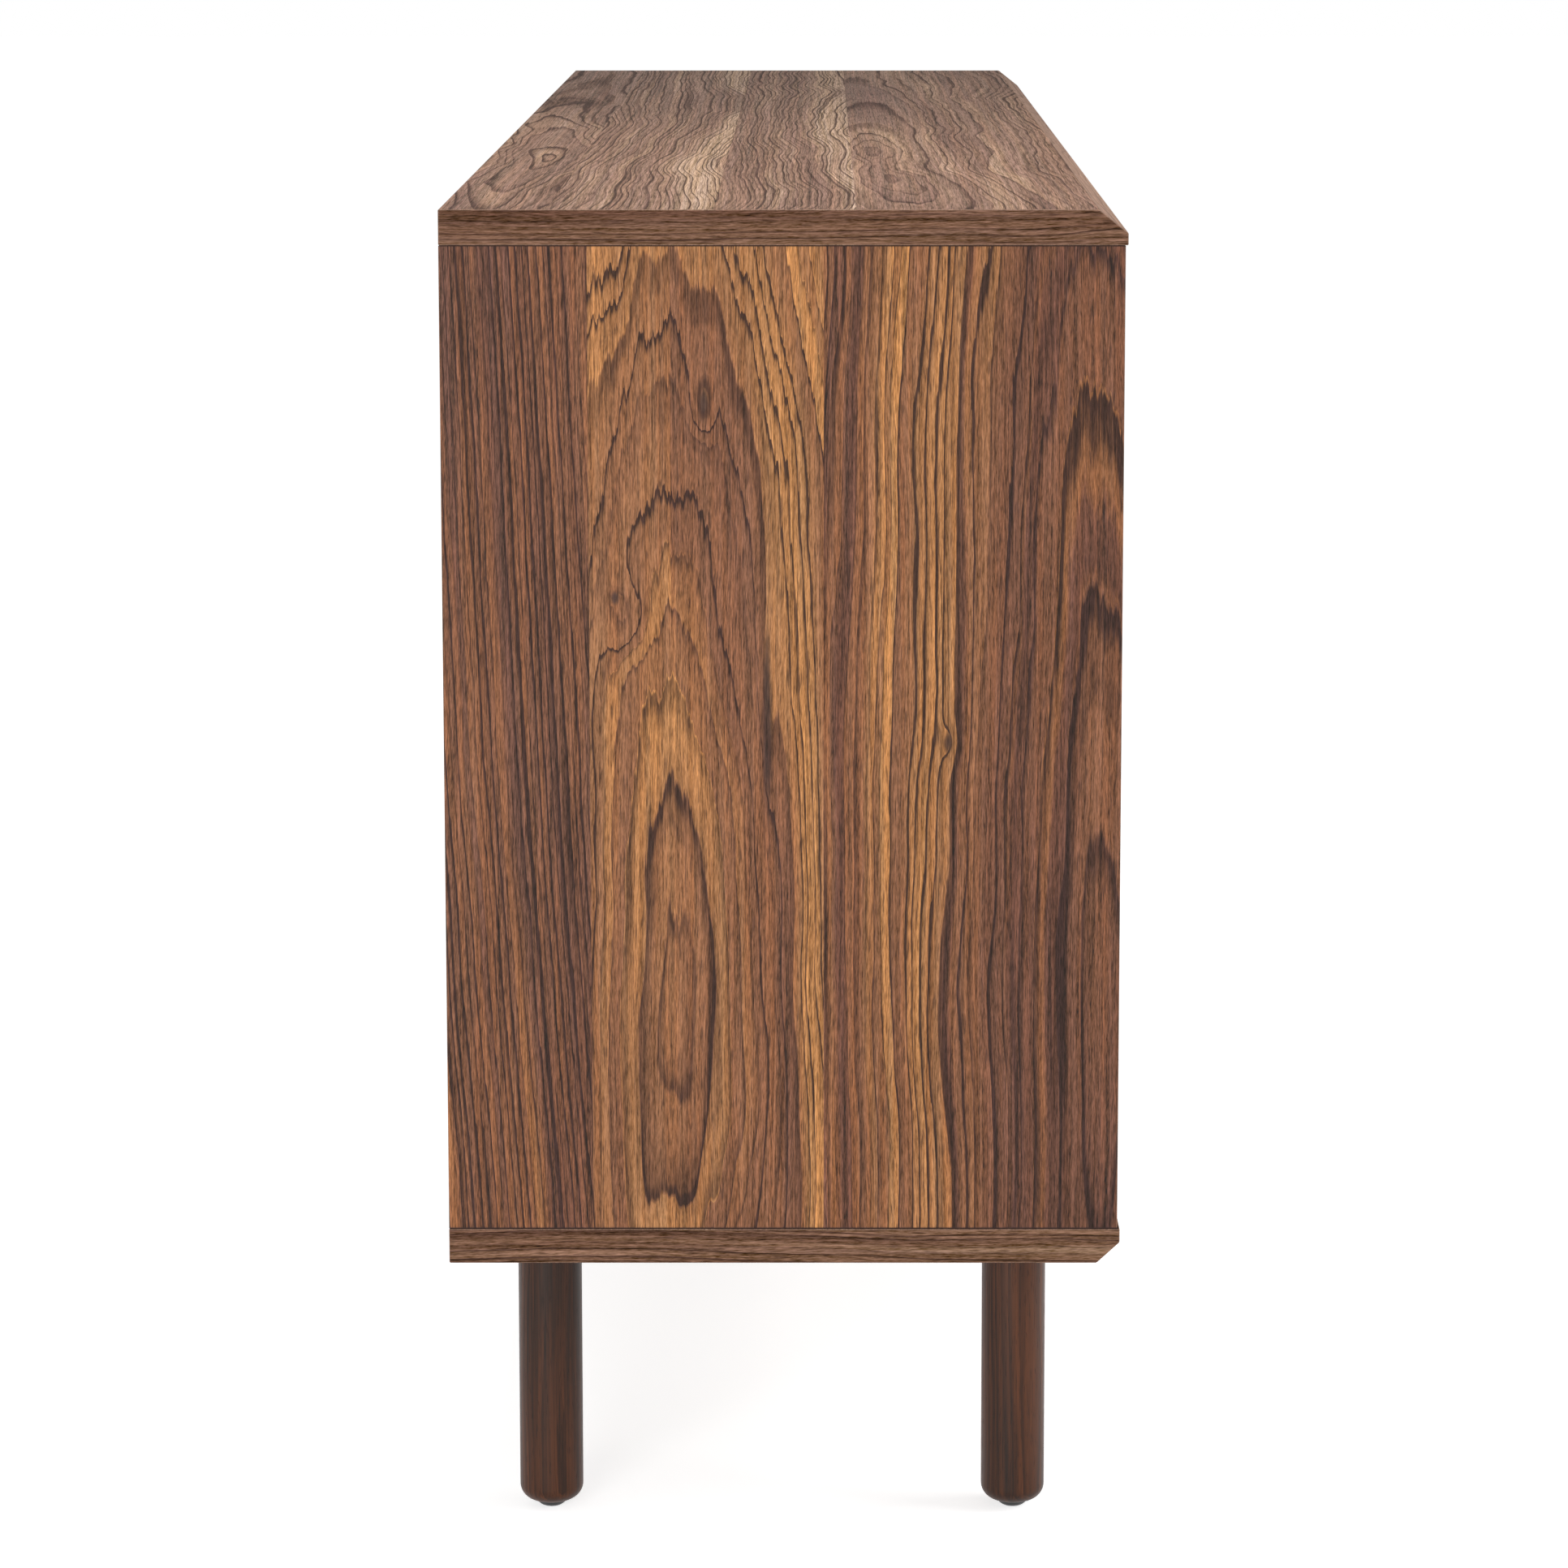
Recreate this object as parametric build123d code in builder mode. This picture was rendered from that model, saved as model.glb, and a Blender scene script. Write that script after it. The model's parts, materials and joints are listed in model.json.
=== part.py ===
from build123d import *
from math import hypot
import os

# Sideboard buffet: a long board cabinet on four round legs with levelling feet.
# Two doors swing on pivot pins at the ends, and three drawers run on telescopic slides between them.
# Millimetres, +Z up, front towards -Y, left towards -X, origin on the floor under the middle.

# Overall size
overall_length = 1600.0
overall_depth = 394.0
overall_height = 787.0
ground_clearance = 167.0

# Boards
top_thickness = 20.5
bottom_thickness = 20.5
end_thickness = 18.0
divider_thickness = 18.0
shelf_thickness = 18.0
front_thickness = 18.0
back_thickness = 4.0
edge_easing = 0.5

# Bevels along the front edges of the top and the bottom
top_bevel_depth = 17.0
top_bevel_height = 13.5
bottom_bevel_depth = 13.5
bottom_bevel_height = 12.5

# Layout
drawer_bay_width = 510.0
end_reveal = 0.5
upright_setback = 1.5
front_inset = 1.0
front_gap = 3.0

# Back panel and the grooves that hold it
back_offset = 8.0
back_groove_depth = 6.0
groove_clearance = 0.2

# Clearances shared by every fit
fit_gap = 0.1
running_gap = 0.3
bearing_gap = 0.05

# Knock-down joints: cam locks, their bolts and dowels
cam_radius = 7.5
cam_skin = 5.5
cam_edge_distance = 24.0
cam_slot_length = 9.0
cam_slot_width = 1.6
cam_slot_depth = 2.0
cam_bolt_radius = 3.4
cam_bolt_thread_radius = 2.8
cam_bolt_thread_length = 11.0
cam_from_edge = 62.0
dowel_radius = 4.0
dowel_in_upright = 20.0
dowel_in_panel = 10.0
dowel_from_cam = 34.0

# Legs, their plates and bolts
leg_radius = 19.0
leg_round = 9.5
leg_end_inset = 57.0
leg_front_inset = 60.0
leg_back_inset = 56.0
leg_plate_side = 62.0
leg_plate_corner = 6.0
leg_plate_thickness = 2.5
leg_boss_radius = 7.0
leg_boss_height = 9.0
leg_bolt_radius = 4.0
leg_bolt_in_leg = 32.0
plate_screw_from_edge = 8.0
plate_screw_radius = 2.0
plate_screw_length = 14.0
plate_screw_head_radius = 3.8
plate_screw_head_height = 2.2

# Levelling feet and the threaded inserts in the legs
foot_height = 4.0
foot_contact_radius = 4.5
foot_stud_radius = 3.0
foot_stud_length = 26.0
foot_stud_tip = 1.2
insert_radius = 5.0
insert_length = 15.0

# Doors: pivot pins, bushes, catches
pivot_from_edge = 15.0
swing_clearance = 0.5
pin_radius = 3.0
pin_collar_radius = 6.0
pin_in_panel = 9.0
pin_in_door = 12.0
bush_radius = 5.5
bush_length = 14.0
bush_flange_radius = 7.0
bush_flange_thickness = 1.0
catch_length = 42.0
catch_depth = 15.0
catch_height = 13.0
catch_round = 2.0
catch_from_divider = 62.0
magnet_slot_length = 24.0
magnet_slot_width = 1.5
magnet_slot_depth = 1.0
strike_length = 34.0
strike_height = 11.0
strike_thickness = 1.2
strike_hole_radius = 1.8

# Knobs, turned with a tenon that is glued into the front
knob_projection = 21.0
knob_radius = 13.0
knob_neck_radius = 6.5
knob_base_radius = 9.0
knob_head_thickness = 9.0
knob_base_thickness = 2.5
knob_round = 3.5
knob_tenon_radius = 4.0
knob_tenon_length = 12.0
door_knob_from_edge = 42.0

# Shelves on pins
shelf_end_gap = 0.8
shelf_front_gap = 16.0
shelf_rear_gap = 2.0
shelf_pin_radius = 2.5
shelf_pin_in_board = 9.0
shelf_pin_reach = 8.0
shelf_pin_from_face = 48.0
shelf_row_pitch = 32.0
shelf_row_count = 5

# Drawer boxes
drawer_side_thickness = 12.0
drawer_bottom_thickness = 4.0
drawer_box_rise = 24.0
drawer_box_drop = 41.0
drawer_groove_depth = 5.0
drawer_groove_rise = 10.0
drawer_rear_gap = 9.0

# Telescopic slides, three nested channels
slide_width = 12.7
slide_height = 45.0
slide_wall = 1.2
slide_cabinet_reach = 10.0
slide_front_gap = 2.0

# Levels along Y
knob_reach = knob_projection - front_inset - upright_setback
y_front = (knob_reach - overall_depth) / 2
y_back = y_front + overall_depth
y_upright = y_front + upright_setback
y_face = y_upright + front_inset
y_face_rear = y_face + front_thickness
y_back_panel_rear = y_back - back_offset
y_back_panel = y_back_panel_rear - back_thickness
y_pivot = y_face + front_thickness / 2

# Levels along Z
z_deck = ground_clearance + bottom_thickness
z_lid = overall_height - top_thickness
upright_height = z_lid - z_deck
z_middle = z_deck + upright_height / 2
z_front_low = z_deck + front_gap
z_front_high = z_lid - front_gap
leg_low = foot_height + running_gap
leg_high = ground_clearance - leg_plate_thickness

# Levels along X, measured outwards from the middle
half_length = overall_length / 2
x_end_outer = half_length - end_reveal
x_end_inner = x_end_outer - end_thickness
x_divider_inner = drawer_bay_width / 2
x_divider_outer = x_divider_inner + divider_thickness
swing_gap = hypot(pivot_from_edge, front_thickness / 2) - pivot_from_edge + swing_clearance
x_door_hinge_edge = x_end_inner - swing_gap
x_pivot = x_door_hinge_edge - pivot_from_edge
x_door_free_edge = x_divider_outer + front_gap
x_door_knob = x_door_free_edge + door_knob_from_edge
x_catch = x_divider_outer + catch_from_divider

# Drawers from the lowest to the highest, with sizes worked out from their bay
DRAWERS = ["bottom_drawer", "middle_drawer", "top_drawer"]
drawer_count = len(DRAWERS)
drawer_front_width = drawer_bay_width - 2 * front_gap
drawer_front_height = (upright_height - (drawer_count + 1) * front_gap) / drawer_count
drawer_box_height = drawer_front_height - drawer_box_rise - drawer_box_drop
x_drawer_outer = x_divider_inner - slide_width
x_drawer_inner = x_drawer_outer - drawer_side_thickness
y_drawer_rear = y_back_panel - drawer_rear_gap
y_slide = y_face_rear + slide_front_gap
slide_length = y_drawer_rear - y_slide
middle_rail_height = slide_height - 2 * (slide_wall + running_gap)
drawer_rail_height = middle_rail_height - 2 * (slide_wall + running_gap)

SIDES = {"left": -1, "right": 1}
FROM_BASE = (Align.CENTER, Align.CENTER, Align.MIN)


def save(builder, name):
    """Labels a finished piece and writes it as its own file."""
    builder.part.label = name
    export_step(builder.part, f"parts/{name}.step")


def looking_up(x, y, z):
    """A plane at a point, with its normal along +Z."""
    return Plane(origin=(x, y, z), x_dir=(1, 0, 0), z_dir=(0, 0, 1))


def looking_down(x, y, z):
    """A plane at a point, with its normal along -Z."""
    return Plane(origin=(x, y, z), x_dir=(1, 0, 0), z_dir=(0, 0, -1))


def looking_sideways(x, y, z, direction):
    """A plane at a point, with its normal along +X or -X."""
    return Plane(origin=(x, y, z), x_dir=(0, 1, 0), z_dir=(direction, 0, 0))


def looking_forward(x, y, z):
    """A plane at a point, with its normal towards the front."""
    return Plane(origin=(x, y, z), x_dir=(1, 0, 0), z_dir=(0, -1, 0))


def looking_back(x, y, z):
    """A plane at a point, with its normal towards the back."""
    return Plane(origin=(x, y, z), x_dir=(-1, 0, 0), z_dir=(0, 1, 0))


def box_between(low, high, mode=Mode.ADD):
    """Adds or cuts a box between two corners in the part being built."""
    size = [b - a for a, b in zip(low, high)]
    middle = [(a + b) / 2 for a, b in zip(low, high)]
    with Locations(tuple(middle)):
        Box(*size, mode=mode)


def upright_places():
    """Where each upright stands: its middle, its cam face and the way that face looks."""
    places = {}
    for side, sign in SIDES.items():
        x_end = sign * (x_end_inner + end_thickness / 2)
        x_divider = sign * (x_divider_inner + divider_thickness / 2)
        places[f"{side}_end_panel"] = (x_end, sign * x_end_inner, -sign)
        places[f"{side}_divider"] = (x_divider, sign * x_divider_inner, -sign)
    return places


UPRIGHTS = upright_places()
CAM_ROWS = (y_upright + cam_from_edge, y_back_panel - cam_from_edge)
DOWEL_ROWS = (CAM_ROWS[0] + dowel_from_cam, CAM_ROWS[1] - dowel_from_cam)


def cam_planes(upright):
    """Planes on the cam face of an upright, one at each cam."""
    _, x_face, direction = UPRIGHTS[upright]
    heights = (z_deck + cam_edge_distance, z_lid - cam_edge_distance)
    return [looking_sideways(x_face, y, z, direction) for y in CAM_ROWS for z in heights]


def upright_end_planes(upright, rows):
    """Planes on the two ends of an upright, looking out of it."""
    x = UPRIGHTS[upright][0]
    return [looking_down(x, y, z_deck) for y in rows] + [looking_up(x, y, z_lid) for y in rows]


def joint_points(rows):
    """Where the joints of all uprights lie, seen from above."""
    return [(x, y) for x, _, _ in UPRIGHTS.values() for y in rows]


def panel_planes(rows):
    """Planes on the bottom and under the top at every joint, looking into the uprights."""
    points = joint_points(rows)
    return [looking_up(x, y, z_deck) for x, y in points] + [looking_down(x, y, z_lid) for x, y in points]


def cut_upright_joints(upright, thickness):
    """Cuts the holes for cams, bolts and dowels in the upright being built."""
    with Locations(*cam_planes(upright)):
        Hole(cam_radius + fit_gap, depth=thickness - cam_skin + fit_gap)
    with Locations(*upright_end_planes(upright, CAM_ROWS)):
        Hole(cam_bolt_radius + fit_gap, depth=cam_edge_distance)
    with Locations(*upright_end_planes(upright, DOWEL_ROWS)):
        Hole(dowel_radius + fit_gap, depth=dowel_in_upright + fit_gap)


def cut_panel_joints(z):
    """Cuts the holes for cam bolts and dowels in the top or the bottom being built, at its inner face."""
    with Locations(*[(x, y, z) for x, y in joint_points(CAM_ROWS)]):
        Hole(cam_bolt_thread_radius + fit_gap, depth=cam_bolt_thread_length + fit_gap)
    with Locations(*[(x, y, z) for x, y in joint_points(DOWEL_ROWS)]):
        Hole(dowel_radius + fit_gap, depth=dowel_in_panel + fit_gap)


def cut_back_groove(low, high):
    """Cuts the groove for the back panel between two corners given along X and Z."""
    box_between(
        (low[0], y_back_panel - groove_clearance, low[1]),
        (high[0], y_back_panel_rear + groove_clearance, high[1]),
        mode=Mode.SUBTRACT,
    )


# Legs stand at the four corners
LEGS = {
    f"{row}_{side}": (sign * (half_length - leg_end_inset), y)
    for side, sign in SIDES.items()
    for row, y in (("front", y_front + leg_front_inset), ("back", y_back - leg_back_inset))
}
plate_screw_offset = leg_plate_side / 2 - plate_screw_from_edge
PLATE_SCREWS = [
    (x + dx * plate_screw_offset, y + dy * plate_screw_offset)
    for x, y in LEGS.values()
    for dx in (-1, 1)
    for dy in (-1, 1)
]


def make_top_panel():
    """The top board, bevelled along its upper front edge."""
    with BuildPart() as top_panel:
        with BuildSketch(Plane.YZ):
            with BuildLine():
                Polyline(
                    (y_front, z_lid),
                    (y_back, z_lid),
                    (y_back, overall_height),
                    (y_front + top_bevel_depth, overall_height),
                    (y_front, overall_height - top_bevel_height),
                    close=True,
                )
            make_face()
        extrude(amount=half_length, both=True)
        chamfer(top_panel.edges(), length=edge_easing)
        x_groove = x_end_inner + back_groove_depth
        cut_back_groove((-x_groove, z_lid), (x_groove, z_lid + back_groove_depth))
        cut_panel_joints(z_lid)
        with Locations(*[looking_down(s * x_pivot, y_pivot, z_lid) for s in SIDES.values()]):
            Hole(pin_radius + fit_gap, depth=pin_in_panel + fit_gap)
    save(top_panel, "top_panel")


def make_bottom_panel():
    """The bottom board, bevelled along its lower front edge, with seats for the leg plates."""
    with BuildPart() as bottom_panel:
        with BuildSketch(Plane.YZ):
            with BuildLine():
                Polyline(
                    (y_front, z_deck),
                    (y_back, z_deck),
                    (y_back, ground_clearance),
                    (y_front + bottom_bevel_depth, ground_clearance),
                    (y_front, ground_clearance + bottom_bevel_height),
                    close=True,
                )
            make_face()
        extrude(amount=half_length, both=True)
        chamfer(bottom_panel.edges(), length=edge_easing)
        x_groove = x_end_inner + back_groove_depth
        cut_back_groove((-x_groove, z_deck - back_groove_depth), (x_groove, z_deck))
        cut_panel_joints(z_deck)
        with Locations(*[looking_up(s * x_pivot, y_pivot, z_deck) for s in SIDES.values()]):
            Hole(pin_radius + fit_gap, depth=pin_in_panel + fit_gap)
        with Locations(*[looking_down(x, y, ground_clearance) for x, y in LEGS.values()]):
            Hole(leg_boss_radius + fit_gap, depth=leg_boss_height + fit_gap)
        with Locations(*[looking_down(x, y, ground_clearance) for x, y in PLATE_SCREWS]):
            Hole(plate_screw_radius + fit_gap, depth=plate_screw_length + fit_gap)
    save(bottom_panel, "bottom_panel")


SHELF_COLUMNS = (y_face_rear + shelf_pin_from_face, y_back_panel - shelf_pin_from_face)
z_lowest_row = z_middle - shelf_row_pitch * (shelf_row_count - 1) / 2
SHELF_ROWS = [z_lowest_row + shelf_row_pitch * row for row in range(shelf_row_count)]
z_shelf_pins = SHELF_ROWS[len(SHELF_ROWS) // 2]
z_shelf = z_shelf_pins + shelf_pin_radius


def shelf_planes(x_face, direction, heights):
    """Planes at the shelf pins of one board's face, looking out of the board."""
    return [looking_sideways(x_face, y, z, direction) for y in SHELF_COLUMNS for z in heights]


def cut_shelf_holes(x_face, direction):
    """Cuts the rows of shelf pin holes in one face of the upright being built."""
    with Locations(*shelf_planes(x_face, direction, SHELF_ROWS)):
        Hole(shelf_pin_radius + fit_gap, depth=shelf_pin_in_board + fit_gap)


def make_end_panels():
    """The two end boards, grooved for the back panel."""
    for side, sign in SIDES.items():
        name = f"{side}_end_panel"
        x_low, x_high = sorted((sign * x_end_inner, sign * x_end_outer))
        with BuildPart() as end_panel:
            box_between((x_low, y_upright, z_deck), (x_high, y_back, z_lid))
            chamfer(end_panel.edges(), length=edge_easing)
            x_groove = sorted((sign * x_end_inner, sign * (x_end_inner + back_groove_depth)))
            cut_back_groove((x_groove[0], z_deck), (x_groove[1], z_lid))
            cut_upright_joints(name, end_thickness)
            cut_shelf_holes(sign * x_end_inner, -sign)
        save(end_panel, name)


def make_dividers():
    """The two boards between the doors and the drawers, which stop at the back panel."""
    for side, sign in SIDES.items():
        name = f"{side}_divider"
        x_low, x_high = sorted((sign * x_divider_inner, sign * x_divider_outer))
        with BuildPart() as divider:
            box_between((x_low, y_upright, z_deck), (x_high, y_back_panel, z_lid))
            chamfer(divider.edges(), length=edge_easing)
            cut_upright_joints(name, divider_thickness)
            cut_shelf_holes(sign * x_divider_outer, sign)
        save(divider, name)


def make_back_panel():
    """The thin back, held in grooves on all four sides."""
    reach = back_groove_depth - groove_clearance
    with BuildPart() as back_panel:
        box_between(
            (-x_end_inner - reach, y_back_panel, z_deck - reach),
            (x_end_inner + reach, y_back_panel_rear, z_lid + reach),
        )
    save(back_panel, "back_panel")


def make_shelves():
    """One adjustable shelf in each door bay."""
    for side, sign in SIDES.items():
        x_inner = sign * (x_divider_outer + shelf_end_gap)
        x_outer = sign * (x_end_inner - shelf_end_gap)
        x_low, x_high = sorted((x_inner, x_outer))
        with BuildPart() as shelf:
            box_between(
                (x_low, y_face_rear + shelf_front_gap, z_shelf),
                (x_high, y_back_panel - shelf_rear_gap, z_shelf + shelf_thickness),
            )
            chamfer(shelf.edges(), length=edge_easing)
        save(shelf, f"{side}_shelf")


def make_shelf_pins():
    """The pins under the shelves, four to each shelf."""
    planes = []
    for sign in SIDES.values():
        planes += shelf_planes(sign * x_end_inner, -sign, [z_shelf_pins])
        planes += shelf_planes(sign * x_divider_outer, sign, [z_shelf_pins])
    with BuildPart() as shelf_pins:
        with Locations(*[p.offset(-shelf_pin_in_board) for p in planes]):
            Cylinder(shelf_pin_radius, shelf_pin_in_board + shelf_pin_reach, align=FROM_BASE)
    save(shelf_pins, "shelf_pins")


def make_cam_locks():
    """The cam locks, each with a cross slot and a bore for its bolt."""
    with BuildPart() as cam_locks:
        for upright in UPRIGHTS:
            thickness = end_thickness if upright.endswith("end_panel") else divider_thickness
            cam_length = thickness - cam_skin
            planes = cam_planes(upright)
            with Locations(*[p.offset(-cam_length) for p in planes]):
                Cylinder(cam_radius, cam_length, align=FROM_BASE)
            with Locations(*planes):
                Box(cam_slot_length, cam_slot_width, 2 * cam_slot_depth, mode=Mode.SUBTRACT)
                Box(cam_slot_width, cam_slot_length, 2 * cam_slot_depth, mode=Mode.SUBTRACT)
            with Locations(*upright_end_planes(upright, CAM_ROWS)):
                Hole(cam_bolt_radius + fit_gap, depth=cam_edge_distance)
    save(cam_locks, "cam_locks")


def make_cam_bolts():
    """The bolts that stand in the top and the bottom and reach into the cams."""
    planes = panel_planes(CAM_ROWS)
    with BuildPart() as cam_bolts:
        with Locations(*[p.offset(-cam_bolt_thread_length) for p in planes]):
            Cylinder(cam_bolt_thread_radius, cam_bolt_thread_length, align=FROM_BASE)
        with Locations(*planes):
            Cylinder(cam_bolt_radius, cam_edge_distance - fit_gap, align=FROM_BASE)
    save(cam_bolts, "cam_bolts")


def make_dowels():
    """The wooden dowels beside the cams."""
    planes = panel_planes(DOWEL_ROWS)
    with BuildPart() as dowels:
        with Locations(*[p.offset(-dowel_in_panel) for p in planes]):
            Cylinder(dowel_radius, dowel_in_panel + dowel_in_upright, align=FROM_BASE)
    save(dowels, "dowels")


def make_legs():
    """The round legs, rounded at the foot and drilled at both ends."""
    for corner, (x, y) in LEGS.items():
        with BuildPart() as leg:
            with Locations((x, y, leg_low)):
                Cylinder(leg_radius, leg_high - leg_low, align=FROM_BASE)
            fillet(leg.edges().group_by(Axis.Z)[0], radius=leg_round)
            with Locations(looking_up(x, y, leg_high)):
                Hole(leg_bolt_radius + fit_gap, depth=leg_bolt_in_leg + fit_gap)
            with Locations(looking_down(x, y, leg_low)):
                Hole(insert_radius + fit_gap, depth=insert_length + fit_gap)
                Hole(foot_stud_radius + fit_gap, depth=foot_stud_length + fit_gap)
        save(leg, f"{corner}_leg")


def make_leg_plates():
    """The steel plates under the bottom, each with a threaded boss for a leg bolt."""
    with BuildPart() as leg_plates:
        with BuildSketch(Plane.XY.offset(leg_high)):
            with Locations(*LEGS.values()):
                RectangleRounded(leg_plate_side, leg_plate_side, leg_plate_corner)
        extrude(amount=leg_plate_thickness)
        with Locations(*[(x, y, ground_clearance) for x, y in LEGS.values()]):
            Cylinder(leg_boss_radius, leg_boss_height, align=FROM_BASE)
        with Locations(*[looking_down(x, y, leg_high) for x, y in LEGS.values()]):
            Hole(leg_bolt_radius + fit_gap, depth=leg_plate_thickness + leg_boss_height)
        with Locations(*[looking_down(x, y, leg_high) for x, y in PLATE_SCREWS]):
            Hole(plate_screw_radius + fit_gap, depth=leg_plate_thickness)
    save(leg_plates, "leg_plates")


def make_leg_plate_screws():
    """The pan-head screws that hold the leg plates."""
    shank = leg_plate_thickness + plate_screw_length
    with BuildPart() as leg_plate_screws:
        with Locations(*[(x, y, leg_high) for x, y in PLATE_SCREWS]):
            Cylinder(plate_screw_radius, shank, align=FROM_BASE)
        with Locations(*[looking_down(x, y, leg_high) for x, y in PLATE_SCREWS]):
            Cylinder(plate_screw_head_radius, plate_screw_head_height, align=FROM_BASE)
        heads = leg_plate_screws.edges().group_by(Axis.Z)[0]
        fillet(heads, radius=plate_screw_head_height / 2)
    save(leg_plate_screws, "leg_plate_screws")


def make_leg_bolts():
    """The hanger bolts that join the legs to their plates."""
    length = leg_bolt_in_leg + leg_plate_thickness + leg_boss_height
    with BuildPart() as leg_bolts:
        with Locations(*[(x, y, leg_high - leg_bolt_in_leg) for x, y in LEGS.values()]):
            Cylinder(leg_bolt_radius, length, align=FROM_BASE)
    save(leg_bolts, "leg_bolts")


def make_foot_inserts():
    """The threaded inserts in the lower ends of the legs."""
    with BuildPart() as foot_inserts:
        with Locations(*[(x, y, leg_low) for x, y in LEGS.values()]):
            Cylinder(insert_radius, insert_length, align=FROM_BASE)
        with Locations(*[looking_down(x, y, leg_low) for x, y in LEGS.values()]):
            Hole(foot_stud_radius + bearing_gap, depth=insert_length)
    save(foot_inserts, "foot_inserts")


def make_feet():
    """The levelling feet: a domed pad on a threaded stud."""
    pad_radius = leg_radius - leg_round
    stud_top = leg_low + foot_stud_length
    shoulder = ((pad_radius + foot_contact_radius) / 2, foot_height / 4)
    for corner, (x, y) in LEGS.items():
        with BuildPart() as foot:
            with BuildSketch(Plane(origin=(x, y, 0), x_dir=(1, 0, 0), z_dir=(0, -1, 0))):
                with BuildLine():
                    Line((0, 0), (foot_contact_radius, 0))
                    ThreePointArc((foot_contact_radius, 0), shoulder, (pad_radius, foot_height))
                    Polyline(
                        (pad_radius, foot_height),
                        (foot_stud_radius, foot_height),
                        (foot_stud_radius, stud_top - foot_stud_tip),
                        (foot_stud_radius - foot_stud_tip, stud_top),
                        (0, stud_top),
                        (0, 0),
                    )
                make_face()
            revolve(axis=Axis((x, y, 0), (0, 0, 1)))
        save(foot, f"{corner}_foot")


def make_doors():
    """The two inset doors, bored for their bushes and knobs."""
    for side, sign in SIDES.items():
        x_low, x_high = sorted((sign * x_door_free_edge, sign * x_door_hinge_edge))
        with BuildPart() as door:
            box_between((x_low, y_face, z_front_low), (x_high, y_face_rear, z_front_high))
            chamfer(door.edges(), length=edge_easing)
            with Locations(
                looking_down(sign * x_pivot, y_pivot, z_front_low),
                looking_up(sign * x_pivot, y_pivot, z_front_high),
            ):
                Hole(bush_radius + fit_gap, depth=bush_length + fit_gap)
            with Locations(looking_forward(sign * x_door_knob, y_face, z_middle)):
                Hole(knob_tenon_radius + fit_gap, depth=knob_tenon_length + fit_gap)
        save(door, f"{side}_door")


def make_door_bushes():
    """Flanged nylon bushes in the upper and lower edges of each door."""
    for side, sign in SIDES.items():
        planes = [
            looking_down(sign * x_pivot, y_pivot, z_front_low),
            looking_up(sign * x_pivot, y_pivot, z_front_high),
        ]
        with BuildPart() as bushes:
            with Locations(*[p.offset(-bush_length) for p in planes]):
                Cylinder(bush_radius, bush_length, align=FROM_BASE)
            with Locations(*planes):
                Cylinder(bush_flange_radius, bush_flange_thickness, align=FROM_BASE)
                Hole(pin_radius + bearing_gap, depth=bush_length)
        save(bushes, f"{side}_door_bushes")


def make_door_pins():
    """Collared steel pivot pins, pressed into the top and the bottom."""
    collar = front_gap - bush_flange_thickness - running_gap
    planes = [
        plane
        for sign in SIDES.values()
        for plane in (
            looking_up(sign * x_pivot, y_pivot, z_deck),
            looking_down(sign * x_pivot, y_pivot, z_lid),
        )
    ]
    with BuildPart() as door_pins:
        with Locations(*[p.offset(-pin_in_panel) for p in planes]):
            Cylinder(pin_radius, pin_in_panel + front_gap + pin_in_door, align=FROM_BASE)
        with Locations(*planes):
            Cylinder(pin_collar_radius, collar, align=FROM_BASE)
    save(door_pins, "door_pivot_pins")


def make_door_catches():
    """Magnetic catches under the top, one for each door."""
    y_catch = y_face_rear + strike_thickness + running_gap
    with BuildPart() as door_catches:
        for sign in SIDES.values():
            box_between(
                (sign * x_catch - catch_length / 2, y_catch, z_lid - catch_height),
                (sign * x_catch + catch_length / 2, y_catch + catch_depth, z_lid),
            )
        upright_edges = door_catches.edges().filter_by(Axis.Z)
        fillet(upright_edges, radius=catch_round)
        with Locations(
            *[looking_forward(s * x_catch, y_catch, z_lid - catch_height / 2) for s in SIDES.values()]
        ):
            with GridLocations(0, catch_height / 2, 1, 2):
                Box(magnet_slot_length, magnet_slot_width, 2 * magnet_slot_depth, mode=Mode.SUBTRACT)
    save(door_catches, "door_catches")


def make_door_strikes():
    """Steel strike plates on the backs of the doors, facing the catches."""
    for side, sign in SIDES.items():
        plane = looking_back(sign * x_catch, y_face_rear, z_lid - catch_height / 2)
        with BuildPart() as strike:
            with BuildSketch(plane):
                SlotOverall(strike_length, strike_height)
                with GridLocations(strike_length / 2, 0, 2, 1):
                    Circle(strike_hole_radius, mode=Mode.SUBTRACT)
            extrude(amount=strike_thickness)
        save(strike, f"{side}_door_strike")


def make_knob(name, x, z):
    """A turned knob on the face of a front, with its tenon inside the front."""
    head_low = knob_projection - knob_head_thickness
    rim_start = knob_radius - knob_round
    with BuildPart() as knob:
        with BuildSketch(Plane(origin=(x, y_face, z), x_dir=(1, 0, 0), z_dir=(0, 0, -1))):
            with BuildLine():
                Polyline(
                    (0, knob_projection),
                    (0, -knob_tenon_length),
                    (knob_tenon_radius, -knob_tenon_length),
                    (knob_tenon_radius, 0),
                    (knob_base_radius, 0),
                    (knob_base_radius, knob_base_thickness),
                )
                Bezier(
                    (knob_base_radius, knob_base_thickness),
                    (knob_neck_radius, knob_base_thickness),
                    (knob_neck_radius, head_low),
                    (rim_start, head_low),
                )
                TangentArc((rim_start, head_low), (knob_radius, head_low + knob_round), tangent=(1, 0))
                Line((knob_radius, head_low + knob_round), (knob_radius, knob_projection - knob_round))
                TangentArc(
                    (knob_radius, knob_projection - knob_round), (rim_start, knob_projection), tangent=(0, 1)
                )
                Line((rim_start, knob_projection), (0, knob_projection))
            make_face()
        revolve(axis=Axis((x, y_face, z), (0, 1, 0)))
    save(knob, name)


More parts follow.
